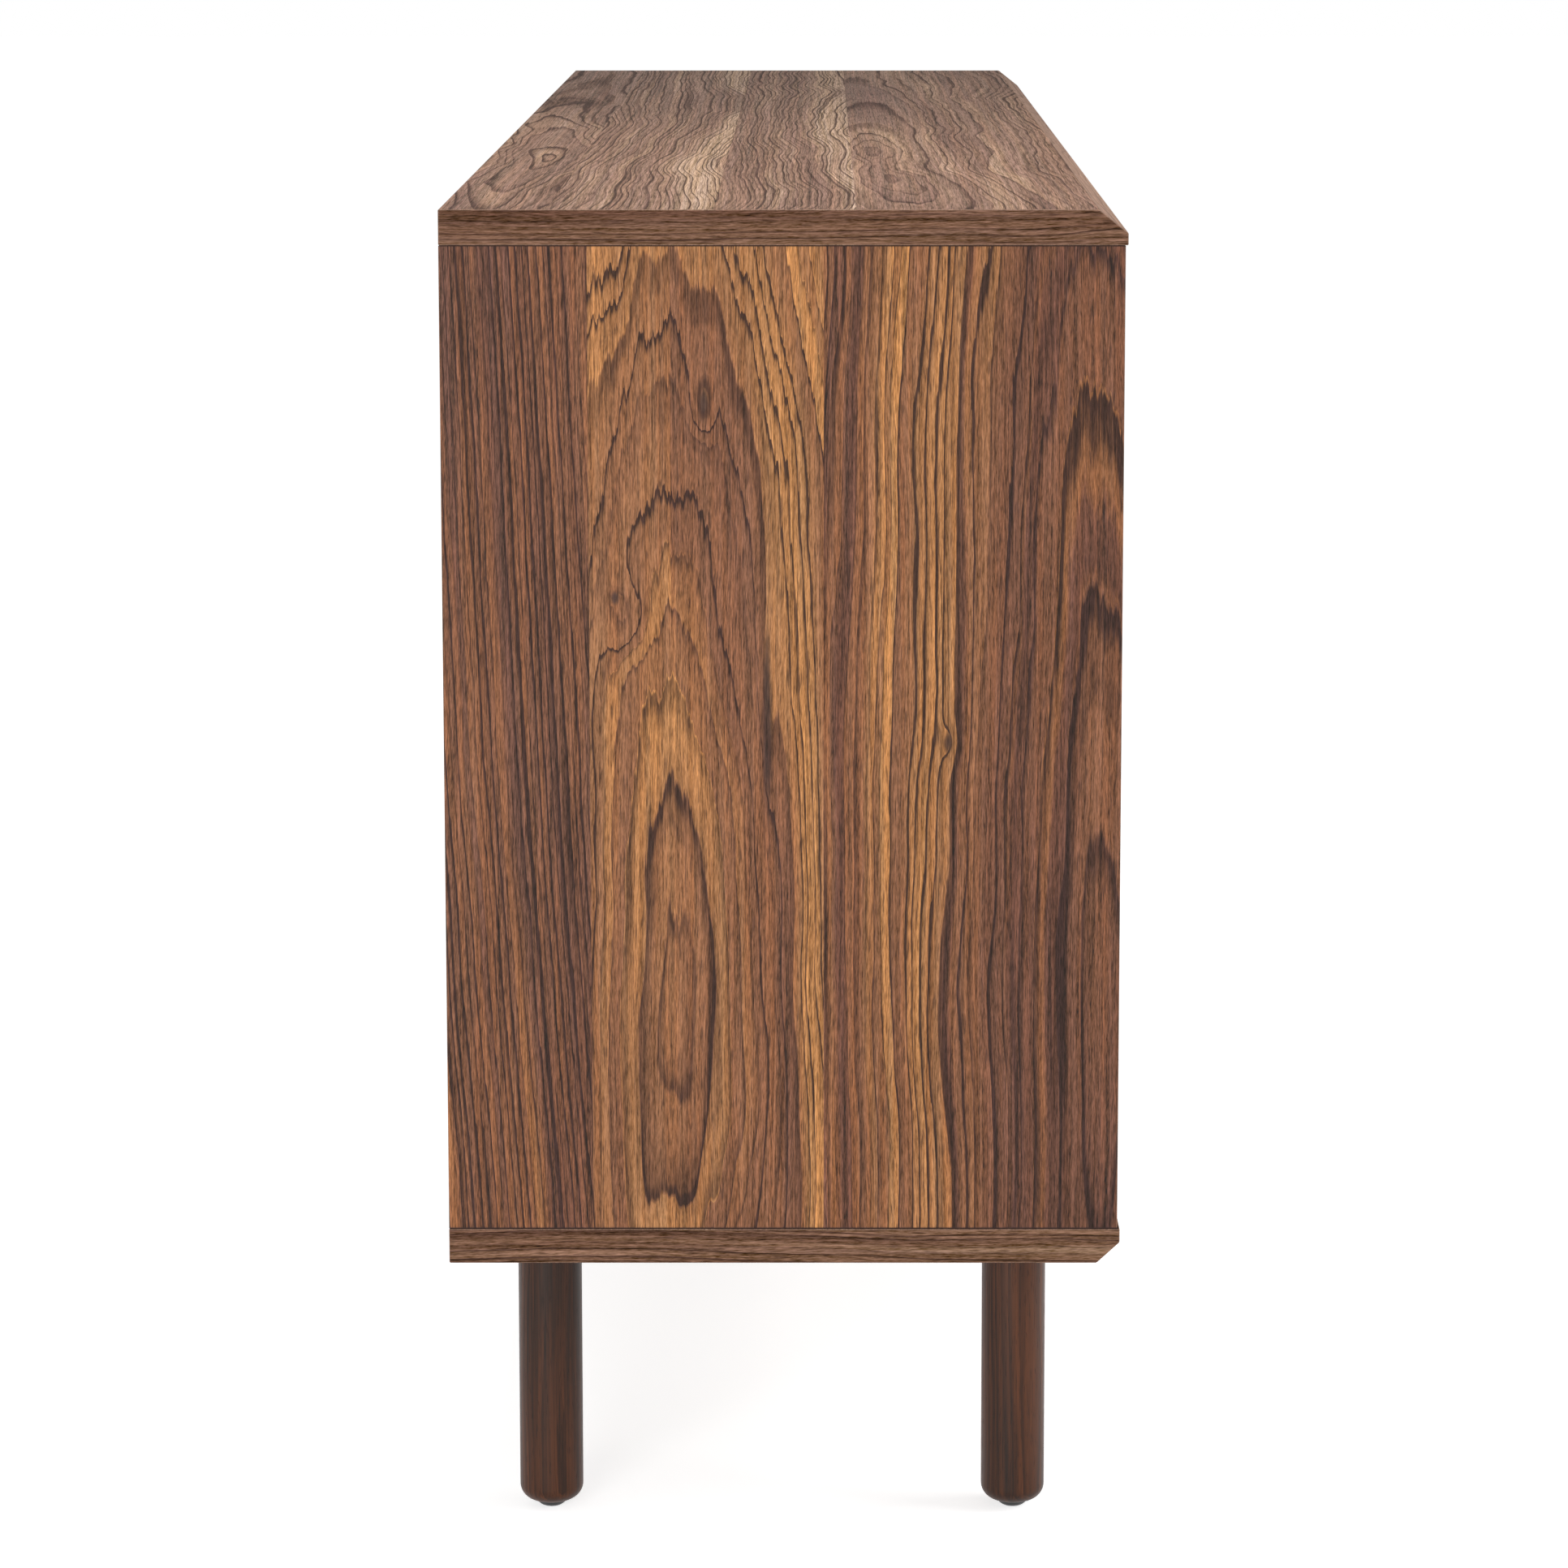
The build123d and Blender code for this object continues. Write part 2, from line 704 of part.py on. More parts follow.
def make_door_knobs():
    """One knob near the free edge of each door."""
    for side, sign in SIDES.items():
        make_knob(f"{side}_door_knob", sign * x_door_knob, z_middle)


def drawer_levels(index):
    """The lower edge of a drawer's front and of its box, counted from the bottom drawer."""
    z_front = z_front_low + index * (drawer_front_height + front_gap)
    return z_front, z_front + drawer_box_rise


def cut_drawer_groove(z_box, low, high):
    """Cuts the groove for a drawer's bottom between two corners given along X and Y."""
    z_groove = z_box + drawer_groove_rise
    box_between(
        (*low, z_groove - groove_clearance),
        (*high, z_groove + drawer_bottom_thickness + groove_clearance),
        mode=Mode.SUBTRACT,
    )


def make_drawer_front(name, index):
    """An inset drawer front with a groove for the drawer's bottom and a bore for its knob."""
    z_front, z_box = drawer_levels(index)
    x_groove = x_drawer_inner + drawer_groove_depth
    with BuildPart() as front:
        box_between(
            (-drawer_front_width / 2, y_face, z_front),
            (drawer_front_width / 2, y_face_rear, z_front + drawer_front_height),
        )
        chamfer(front.edges(), length=edge_easing)
        cut_drawer_groove(z_box, (-x_groove, y_face_rear - drawer_groove_depth), (x_groove, y_face_rear))
        with Locations(looking_forward(0, y_face, z_front + drawer_front_height / 2)):
            Hole(knob_tenon_radius + fit_gap, depth=knob_tenon_length + fit_gap)
    save(front, f"{name}_front")


def make_drawer_sides(name, index):
    """The two sides of a drawer box, grooved for its bottom."""
    _, z_box = drawer_levels(index)
    for side, sign in SIDES.items():
        x_low, x_high = sorted((sign * x_drawer_inner, sign * x_drawer_outer))
        x_groove = sorted((sign * x_drawer_inner, sign * (x_drawer_inner + drawer_groove_depth)))
        with BuildPart() as drawer_side:
            box_between((x_low, y_face_rear, z_box), (x_high, y_drawer_rear, z_box + drawer_box_height))
            chamfer(drawer_side.edges(), length=edge_easing)
            cut_drawer_groove(z_box, (x_groove[0], y_face_rear), (x_groove[1], y_drawer_rear))
        save(drawer_side, f"{name}_{side}_side")


def make_drawer_back(name, index):
    """The back of a drawer box, between its sides."""
    _, z_box = drawer_levels(index)
    y_inner = y_drawer_rear - drawer_side_thickness
    with BuildPart() as drawer_back:
        box_between(
            (-x_drawer_inner, y_inner, z_box),
            (x_drawer_inner, y_drawer_rear, z_box + drawer_box_height),
        )
        chamfer(drawer_back.edges(), length=edge_easing)
        cut_drawer_groove(z_box, (-x_drawer_inner, y_inner), (x_drawer_inner, y_inner + drawer_groove_depth))
    save(drawer_back, f"{name}_back")


def make_drawer_bottom(name, index):
    """The thin bottom of a drawer, in grooves on three sides and let into the front."""
    _, z_box = drawer_levels(index)
    z_groove = z_box + drawer_groove_rise
    reach = drawer_groove_depth - groove_clearance
    y_inner = y_drawer_rear - drawer_side_thickness
    with BuildPart() as drawer_bottom:
        box_between(
            (-x_drawer_inner - reach, y_face_rear - reach, z_groove),
            (x_drawer_inner + reach, y_inner, z_groove + drawer_bottom_thickness),
        )
        box_between(
            (-x_drawer_inner, y_inner, z_groove),
            (x_drawer_inner, y_inner + reach, z_groove + drawer_bottom_thickness),
        )
    save(drawer_bottom, f"{name}_bottom")


def slide_planes(index):
    """Section planes at the front ends of a drawer's two slides, with X running from the divider."""
    _, z_box = drawer_levels(index)
    z_slide = z_box + drawer_box_height / 2
    return [
        Plane(origin=(sign * x_divider_inner, y_slide, z_slide), x_dir=(-sign, 0, 0), z_dir=(0, 1, 0))
        for sign in SIDES.values()
    ]


def add_channel(plane, start, end, height, web_at_start):
    """Adds one channel of a slide to the part being built, from its section in a plane."""
    hollow = height - 2 * slide_wall
    hollow_start = start + slide_wall if web_at_start else start
    hollow_end = end if web_at_start else end - slide_wall
    with BuildSketch(plane) as section:
        with Locations(((start + end) / 2, 0)):
            Rectangle(end - start, height)
        with Locations(((hollow_start + hollow_end) / 2, 0)):
            Rectangle(hollow_end - hollow_start, hollow, mode=Mode.SUBTRACT)
    extrude(to_extrude=section.sketch, amount=slide_length)


middle_rail_start = slide_wall + running_gap
drawer_rail_start = middle_rail_start + slide_wall + running_gap
middle_rail_end = slide_width - slide_wall - running_gap


def make_cabinet_rails():
    """The outer channels of all slides, fixed to the dividers."""
    with BuildPart() as cabinet_rails:
        for index in range(drawer_count):
            for plane in slide_planes(index):
                add_channel(plane, 0, slide_cabinet_reach, slide_height, web_at_start=True)
    save(cabinet_rails, "drawer_slide_cabinet_rails")


def make_moving_rails(name, index):
    """The middle channels and the drawer channels of one drawer's slides."""
    with BuildPart() as middle_rails:
        for plane in slide_planes(index):
            add_channel(plane, middle_rail_start, middle_rail_end, middle_rail_height, web_at_start=True)
    save(middle_rails, f"{name}_middle_rails")
    with BuildPart() as drawer_rails:
        for plane in slide_planes(index):
            add_channel(plane, drawer_rail_start, slide_width, drawer_rail_height, web_at_start=False)
    save(drawer_rails, f"{name}_rails")


def make_drawer(name, index):
    """One whole drawer: front, box, knob and the moving members of its slides."""
    z_front, _ = drawer_levels(index)
    make_drawer_front(name, index)
    make_drawer_sides(name, index)
    make_drawer_back(name, index)
    make_drawer_bottom(name, index)
    make_knob(f"{name}_knob", 0, z_front + drawer_front_height / 2)
    make_moving_rails(name, index)


os.makedirs("parts", exist_ok=True)
make_top_panel()
make_bottom_panel()
make_end_panels()
make_dividers()
make_back_panel()
make_shelves()
make_shelf_pins()
make_cam_locks()
make_cam_bolts()
make_dowels()
make_legs()
make_leg_plates()
make_leg_plate_screws()
make_leg_bolts()
make_foot_inserts()
make_feet()
make_doors()
make_door_bushes()
make_door_pins()
make_door_catches()
make_door_strikes()
make_door_knobs()
make_cabinet_rails()
for drawer_index, drawer_name in enumerate(DRAWERS):
    make_drawer(drawer_name, drawer_index)
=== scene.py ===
"""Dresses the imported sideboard: its finishes, its small screws, the studio light and the camera."""

import json
import logging
import math
from dataclasses import dataclass, field
from enum import Enum
from functools import reduce
from typing import Any, Callable, Optional, Sequence, Union

import bpy
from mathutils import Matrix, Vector


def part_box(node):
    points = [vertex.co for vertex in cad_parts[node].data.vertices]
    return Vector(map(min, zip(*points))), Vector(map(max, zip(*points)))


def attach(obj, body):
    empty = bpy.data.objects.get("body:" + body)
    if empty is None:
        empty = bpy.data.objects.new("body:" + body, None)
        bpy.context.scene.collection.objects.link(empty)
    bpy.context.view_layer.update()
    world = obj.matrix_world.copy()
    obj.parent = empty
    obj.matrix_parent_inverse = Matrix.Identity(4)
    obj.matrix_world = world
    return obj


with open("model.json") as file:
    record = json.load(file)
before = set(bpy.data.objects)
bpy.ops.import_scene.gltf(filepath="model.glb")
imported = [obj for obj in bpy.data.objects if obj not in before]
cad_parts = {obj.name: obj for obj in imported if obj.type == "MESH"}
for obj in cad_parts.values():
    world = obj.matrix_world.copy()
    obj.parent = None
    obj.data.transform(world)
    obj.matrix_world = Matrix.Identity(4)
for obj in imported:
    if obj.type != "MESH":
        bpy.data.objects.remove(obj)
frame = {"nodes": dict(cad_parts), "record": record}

Colour = tuple[float, float, float]
Place = tuple[float, float, float]
Span = tuple[float, float]
Number = Union[float, "Value"]
Seat = tuple[Vector, Vector]

LOG = logging.getLogger("sideboard")
WHITE: Colour = (1.0, 1.0, 1.0)
SIDES = ("left", "right")

# The sockets of a Mix node that serve colours: its share, its two colours and its result.
MIX_INPUTS = (0, 6, 7)
MIX_OUTPUT = 2

# How far a face looks along an axis to count as its own, and the sizes of leaves, three to a ramp.
FACE_LIMIT = 0.6
LEAF_SIZES = (("heart", "peak", "depth"), ("tilt", "lean", "ring"), ("crowd", "tone", "contrast"),
              ("wander", "wave", "start"))

# The usual curve of display colours: straight up to its limit, then a power.
DISPLAY_LIMIT = 0.04045
DISPLAY_SLOPE = 12.92
DISPLAY_OFFSET = 0.055
DISPLAY_POWER = 2.4


def srgb(red: int, green: int, blue: int) -> Colour:
    """Turns a display colour into the linear colour that shaders use.

    Args:
        red: Red, from 0 to 255.
        green: Green, from 0 to 255.
        blue: Blue, from 0 to 255.

    Returns:
        The linear colour, each channel from 0 to 1.
    """
    shares = [level / 255 for level in (red, green, blue)]
    return tuple(share / DISPLAY_SLOPE if share <= DISPLAY_LIMIT
                 else ((share + DISPLAY_OFFSET) / (1 + DISPLAY_OFFSET)) ** DISPLAY_POWER
                 for share in shares)


def scaled(colour: Colour, share: float) -> Colour:
    """The same colour, darker or lighter."""
    return tuple(part * share for part in colour)


def operator(operation: str, reflected: bool = False) -> Callable[["Value", Number], "Value"]:
    """Makes an operator of shader values.

    Args:
        operation: The Math node's operation.
        reflected: Whether the value stands after the number.

    Returns:
        The operator, as a method of Value.
    """
    def apply(value: "Value", other: Number) -> "Value":
        """Adds the Math node."""
        return value.graph.math(operation, *((other, value) if reflected else (value, other)))

    return apply


class Value:
    """A number in a shader: a socket that takes part in Python arithmetic.

    A comparison gives one where it holds and nought elsewhere.
    """

    def __init__(self, graph: "Graph", socket: bpy.types.NodeSocket) -> None:
        """Wraps one output socket of a graph."""
        self.graph = graph
        self.socket = socket

    def __abs__(self) -> "Value":
        """Its size without its sign."""
        return self.graph.math("ABSOLUTE", self)

    __add__ = operator("ADD")
    __radd__ = operator("ADD", reflected=True)
    __sub__ = operator("SUBTRACT")
    __rsub__ = operator("SUBTRACT", reflected=True)
    __mul__ = operator("MULTIPLY")
    __rmul__ = operator("MULTIPLY", reflected=True)
    __truediv__ = operator("DIVIDE")
    __rtruediv__ = operator("DIVIDE", reflected=True)
    __gt__ = operator("GREATER_THAN")
    __lt__ = operator("LESS_THAN")


class Graph:
    """The shader nodes of one material or world, made by expressions and one general method."""

    def __init__(self, owner: Union[bpy.types.Material, bpy.types.World]) -> None:
        """Clears the nodes of a material or a world, to start anew.

        Args:
            owner: The material or the world.
        """
        owner.use_nodes = True
        owner.node_tree.nodes.clear()
        self.owner = owner
        self.tree = owner.node_tree

    @classmethod
    def for_material(cls, name: str) -> "Graph":
        """Starts the graph of a new material."""
        return cls(bpy.data.materials.new(name))

    def add(self, kind: str, settings: Optional[dict[str, Any]] = None,
            inputs: Optional[dict[Any, Any]] = None) -> bpy.types.Node:
        """Adds a node: its settings first, then its sockets.

        Args:
            kind: The node's type.
            settings: Properties by name; steps is a list of place and colour for a ramp.
            inputs: Values or links by socket name or number.

        Returns:
            The new node.
        """
        made = self.tree.nodes.new(kind)
        for key, setting in (settings or {}).items():
            if key == "steps":
                self.set_steps(made.color_ramp, setting)
            else:
                setattr(made, key, setting)
        for key, given in (inputs or {}).items():
            if isinstance(given, Value):
                self.tree.links.new(given.socket, made.inputs[key])
            else:
                made.inputs[key].default_value = given
        return made

    @staticmethod
    def set_steps(ramp: bpy.types.ColorRamp, steps: Sequence[tuple[float, Colour]]) -> None:
        """Makes a ramp change by steps.

        Args:
            ramp: The ramp of a new node, with its two first stops.
            steps: Where each step starts, and its colour, in order.
        """
        while len(ramp.elements) < len(steps):
            ramp.elements.new(1.0)
        while len(ramp.elements) > len(steps):
            ramp.elements.remove(ramp.elements[-1])
        for element, (place, colour) in zip(ramp.elements, steps):
            element.position = place
            element.color = (*colour, 1.0)
        ramp.interpolation = "CONSTANT"

    def node(self, kind: str, settings: Optional[dict[str, Any]] = None,
             inputs: Optional[dict[Any, Any]] = None, output: Any = 0) -> Value:
        """Adds a node and gives one of its outputs, by name or number."""
        return Value(self, self.add(kind, settings, inputs).outputs[output])

    def math(self, operation: str, *operands: Number) -> Value:
        """Adds a Math node on numbers or values."""
        return self.node("ShaderNodeMath", {"operation": operation}, dict(enumerate(operands)))

    def most(self, *values: Number) -> Value:
        """The greatest of several values."""
        return reduce(lambda one, other: self.math("MAXIMUM", one, other), values)

    def split(self, vector: Value) -> tuple[Value, Value, Value]:
        """The three parts of a vector or a colour."""
        made = self.add("ShaderNodeSeparateXYZ", None, {0: vector})
        return tuple(Value(self, socket) for socket in made.outputs)

    def join(self, x: Number, y: Number, z: Number) -> Value:
        """A vector from three numbers."""
        return self.node("ShaderNodeCombineXYZ", None, {0: x, 1: y, 2: z})

    def place(self) -> tuple[Value, Value, Value]:
        """The place of the shaded point in the object's own frame, in metres."""
        return self.split(self.node("ShaderNodeTexCoord", output="Object"))

    def place_along(self, runs: "Axis") -> tuple[Value, Value, Value]:
        """The place along one axis, then along the two others."""
        parts = self.place()
        return parts[runs.value], *[part for axis, part in zip(Axis, parts) if axis is not runs]

    def facing(self) -> tuple[Value, Value, Value]:
        """How far the surface faces along each axis, without signs."""
        normal = self.node("ShaderNodeTexCoord", output="Normal")
        return tuple(abs(part) for part in self.split(normal))

    def noise(self, x: Number, y: Number, z: Number, detail: float = 2.0,
              roughness: float = 0.5) -> Value:
        """Smooth noise about nought, of about a quarter each way.

        Args:
            x: First coordinate.
            y: Second coordinate.
            z: Third coordinate, which also serves as a seed.
            detail: How many finer layers are added.
            roughness: How strong each finer layer is.

        Returns:
            The noise, centred on nought.
        """
        inputs = {"Vector": self.join(x, y, z), "Scale": 1.0, "Detail": detail, "Roughness": roughness}
        return self.node("ShaderNodeTexNoise", {"noise_dimensions": "3D"}, inputs) - 0.5

    def smooth(self, value: Value, low: Number, high: Number) -> Value:
        """A soft step from nought at low to one at high."""
        inputs = {"Value": value, "From Min": low, "From Max": high}
        return self.node("ShaderNodeMapRange", {"interpolation_type": "SMOOTHSTEP"}, inputs)

    def steps(self, place: Value, starts: Sequence[float], *rows: Sequence[float]) -> list[Value]:
        """Up to three values that change by steps along one coordinate.

        Args:
            place: The coordinate, from 0 to 1.
            starts: Where each step starts.
            rows: One list of values for each result, as long as starts.

        Returns:
            One value for each row.
        """
        spans = [(min(row), max(row) - min(row) or 1.0) for row in rows]
        steps = []
        for index, start in enumerate(starts):
            shares = [(row[index] - low) / span for row, (low, span) in zip(rows, spans)]
            steps.append((start, tuple(shares + [0.0] * (3 - len(shares)))))
        ramp = self.node("ShaderNodeValToRGB", {"steps": steps}, {"Fac": place})
        return [channel * span + low for channel, (low, span) in zip(self.split(ramp), spans)]

    def mix(self, share: Number, first: Any, second: Any, blend: str = "MIX") -> Value:
        """Mixes two colours.

        Args:
            share: How much of the second colour, from 0 to 1.
            first: A colour or a link.
            second: A colour or a link.
            blend: The way the colours mix.

        Returns:
            The mixed colour.
        """
        colours = [one if isinstance(one, Value) else (*one, 1.0) for one in (first, second)]
        settings = {"data_type": "RGBA", "blend_type": blend, "clamp_factor": True}
        inputs = dict(zip(MIX_INPUTS, (share, *colours)))
        return self.node("ShaderNodeMix", settings, inputs, MIX_OUTPUT)

    def shown_rays(self) -> Value:
        """One on the rays that show the background: from the camera, in reflections and through glass."""
        rays = ("Is Camera Ray", "Is Glossy Ray", "Is Transmission Ray")
        return self.most(*[self.node("ShaderNodeLightPath", output=ray) for ray in rays])

    def bump(self, height: Value, distance: float, strength: float) -> Value:
        """A normal that follows a height, in metres of relief."""
        inputs = {"Height": height, "Distance": distance, "Strength": strength}
        return self.node("ShaderNodeBump", None, inputs)

    def surface(self, base: Value, roughness: Value, normal: Value,
                constants: Optional[dict[str, float]] = None) -> bpy.types.Material:
        """Ends the material in a Principled shader.

        Args:
            base: The colour.
            roughness: The roughness.
            normal: The normal, with its relief.
            constants: Values that are the same all over, by socket name.

        Returns:
            The finished material.
        """
        inputs = {"Base Color": base, "Roughness": roughness, "Normal": normal, **(constants or {})}
        shader = self.node("ShaderNodeBsdfPrincipled", None, inputs)
        self.add("ShaderNodeOutputMaterial", None, {"Surface": shader})
        return self.owner


class Axis(Enum):
    """The three axes of the shared frame."""

    X = 0
    Y = 1
    Z = 2


class Lay(Enum):
    """Which way the veneer runs on faces along X, Y and Z, and the axis that wide faces look along."""

    LENGTHWISE = ((Axis.Y, Axis.X, Axis.X), Axis.Z)
    UPRIGHT = ((Axis.Z, Axis.Z, Axis.Y), Axis.X)
    FRONT = ((Axis.Z, Axis.X, Axis.X), Axis.Y)

    def __init__(self, runs: tuple[Axis, Axis, Axis], wide: Axis) -> None:
        """Names the two halves of the value."""
        self.runs = runs
        self.wide = wide


@dataclass(frozen=True)
class Leaf:
    """One leaf of veneer: a strip of the board and the way it was cut from its log.

    Sizes are in metres. Places across are measured from the board's first edge, and peak is the place
    along the board where the cut comes nearest to the heart of the log.
    """

    start: float
    heart: float
    peak: float
    depth: float
    tilt: float
    ring: float
    tone: float
    contrast: float
    wander: float
    wave: float
    lean: float = 0.0
    crowd: float = 0.0


@dataclass(frozen=True)
class Eye:
    """A knot or an eye that the grain flows around, at a place along and across the board."""

    along: float
    across: float
    long: float
    wide: float
    swell: float
    core: float = 0.0


@dataclass(frozen=True)
class Band:
    """A paler or darker band of rings, between two distances from the heart of a leaf."""

    start: float
    end: float
    low: float
    high: float
    gain: float
    soft: float = 0.006


@dataclass(frozen=True)
class Palette:
    """The colours of one veneer, and the two tints that its fibres vary between."""

    pale: Colour = srgb(186, 129, 76)
    warm: Colour = srgb(139, 89, 56)
    deep: Colour = srgb(103, 64, 46)
    line: Colour = srgb(46, 29, 26)
    pore: Colour = srgb(50, 32, 26)
    # A paler colour painted on bevels and chamfers as a highlight, for the light and sheen that they catch.
    bevel_highlight: Colour = srgb(176, 142, 112)
    cool: Colour = (0.94, 1.0, 1.11)
    rusty: Colour = (1.05, 0.99, 0.88)


@dataclass(frozen=True)
class Pattern:
    """A noise on two coordinates: how often it changes in a unit of each, its seed and its layers."""

    first: float
    second: float
    seed: float
    detail: float = 2.0
    roughness: float = 0.5

    def draw(self, first: Value, second: Value, seed: Number) -> Value:
        """Draws the noise over two coordinates of a board."""
        return first.graph.noise(first * self.first, second * self.second, seed + self.seed, self.detail,
                                 self.roughness)


@dataclass(frozen=True)
class Chance:
    """A noise on a count of rings, which gives each ring a value of its own."""

    often: float
    seed: float
    layer: float
    detail: float = 0.0

    def draw(self, count: Value, seed: float = 0.0) -> Value:
        """Draws the noise along a count."""
        return count.graph.noise(count * self.often, seed + self.seed, self.layer, self.detail)


@dataclass(frozen=True)
class Grain:
    """A noise in a solid, with how often it changes in a metre of its first two axes and of its last."""

    across: float
    along: float
    detail: float = 2.0

    def draw(self, first: Value, second: Value, along: Value) -> Value:
        """Draws the noise through the solid."""
        return first.graph.noise(first * self.across, second * self.across, along * self.along, self.detail)


@dataclass(frozen=True)
class Figure:
    """The noises that a veneer is drawn with."""

    broad: Pattern = Pattern(1.6, 5.0, 0.0, 1.0)
    swing: Pattern = Pattern(7.0, 10.0, 7.0, 1.5)
    teeth: Pattern = Pattern(4.5, 70.0, 10.0, 1.5)
    fine: Pattern = Pattern(22.0, 520.0, 13.0)
    patch: Pattern = Pattern(5.3, 43.0, 31.0)
    zone: Pattern = Pattern(0.35, 1.4, 41.0, 1.0)
    cloud: Pattern = Pattern(1.6, 36.0, 47.0)
    fibre: Pattern = Pattern(8.3, 430.0, 53.0, 4.0, 0.66)
    short: Pattern = Pattern(131.0, 1270.0, 57.0, 2.0, 0.75)
    flecks: Pattern = Pattern(71.0, 1130.0, 59.0, 1.5)
    bend: Pattern = Pattern(2.3, 9.0, 61.0)
    streaks: Pattern = Pattern(0.9, 1.1, 71.0, 3.0, 0.62)
    hairs: Pattern = Pattern(4.2, 2.1, 73.0, 2.0, 0.6)
    tinge: Pattern = Pattern(3.7, 230.0, 83.0)
    uneven: Chance = Chance(0.45, 3.0, 0.0, 2.0)
    bold: Chance = Chance(0.731, 9.0, 0.5)
    hue: Chance = Chance(1.37, 17.0, 2.5)


@dataclass(frozen=True)
class Marks:
    """How strong the marks of a veneer are, and the spans over which they come in."""

    # How the noises move the cut through the log.
    leaf_seed: float = 90.0
    depth_seed: float = 0.7
    fine_run: float = 0.015
    edge_drift: float = 0.5
    teeth_rings: float = 0.6
    fray: float = 0.0006
    fray_rings: float = 0.06
    eye_teeth: float = 0.004
    core_fray: float = 0.5
    sharp: Span = (0.0075, 0.0125)

    # The dark lines, by the share of a ring's width, and the streaks between them.
    uneven: float = 2.4
    line_start: float = 0.6
    line_sharper: float = 0.1
    line_full: float = 0.94
    line_end: Span = (0.95, 0.99)
    smudge_start: Span = (0.1, 0.95)
    smudge_end: Span = (0.96, 1.0)
    bold: Span = (-0.12, 0.2)
    line_least: float = 0.4
    line_bold: float = 0.6
    smudge: float = 0.3
    streak_span: Span = (0.03, 0.27)
    streak: float = 0.55
    hair_span: Span = (0.0, 0.25)
    hair: float = 0.2
    patch_span: Span = (-0.25, 0.2)
    patch_least: float = 0.5
    patch: float = 0.5
    patch_sharp: float = 0.2
    fibre_break: float = 1.6
    heart_fibre: float = 0.5
    heart_span: Span = (-0.2, -0.9)
    heart: float = 0.85
    darkest: float = 0.93
    core: float = 0.9

    # The colours between the lines, from dark to golden.
    hue: float = 0.5
    hue_sharp: float = 0.7
    zone: float = 0.9
    cloud_sharp: float = 0.4
    warm_span: Span = (-0.1, 0.5)
    pale_span: Span = (0.35, 1.0)
    tinge_hue: float = 0.3
    tinge_zone: float = 0.3
    # The warmer tinge of narrow edges is partly painted light: it sets the edges apart from the sheen
    # painted into the top's greyer palette.
    tinge_edge: float = 0.15
    tinge_span: Span = (-0.2, 0.2)

    # The fibres and the pores.
    slant: float = 1.7
    bend: float = 0.014
    pore_span: Span = (0.03, 0.17)
    pore: float = 0.6
    lively: float = 1.5
    calm_span: Span = (-0.1, 0.8)
    calm: float = 0.5
    fibre_light: float = 2.3
    short_light: float = 2.3
    shade: float = 0.02
    green_light: float = 1.1
    blue_light: float = 1.4

    # The bevels, which take a painted highlight, the painted shade along the joints, the sheen and the
    # relief.
    bevel: float = 0.83
    low_joint_shade: Span = (0.0004, 0.0016)
    high_joint_shade: Span = (-0.0011, -0.0003)
    seam: float = 0.95
    fibre_rough: float = 0.2
    pore_rough: float = 0.1
    line_rough: float = 0.2
    fibre_relief: float = 0.5
    pore_relief: float = 0.8
    line_relief: float = 0.06
    relief: Span = (0.00012, 0.6)


@dataclass(frozen=True)
class Veneer:
    """A walnut veneer of several leaves on one kind of board."""

    name: str
    lay: Lay
    first_edge: float
    width: float
    leaves: tuple[Leaf, ...]
    eyes: tuple[Eye, ...] = ()
    bands: tuple[Band, ...] = ()
    palette: Palette = Palette()
    figure: Figure = Figure()
    marks: Marks = Marks()
    roughness: float = 0.52
    gloss: float = 0.24
    seed: float = 0.0
    teeth: float = 0.06
    fibre_length: float = 1.0
    ease: float = 0.0
    edge_ring: float = 0.0036
    edge_tone: float = 0.22
    edge_contrast: float = 1.0
    # How much of that painted highlight the bevels take.
    bevel_highlight_share: float = 0.15
    # The heights of the lower and upper joints, along which shade is painted as a dark line.
    joints: Optional[Span] = None

    def build(self) -> bpy.types.Material:
        """Builds the veneer's material."""
        return VeneerShader(self).build()


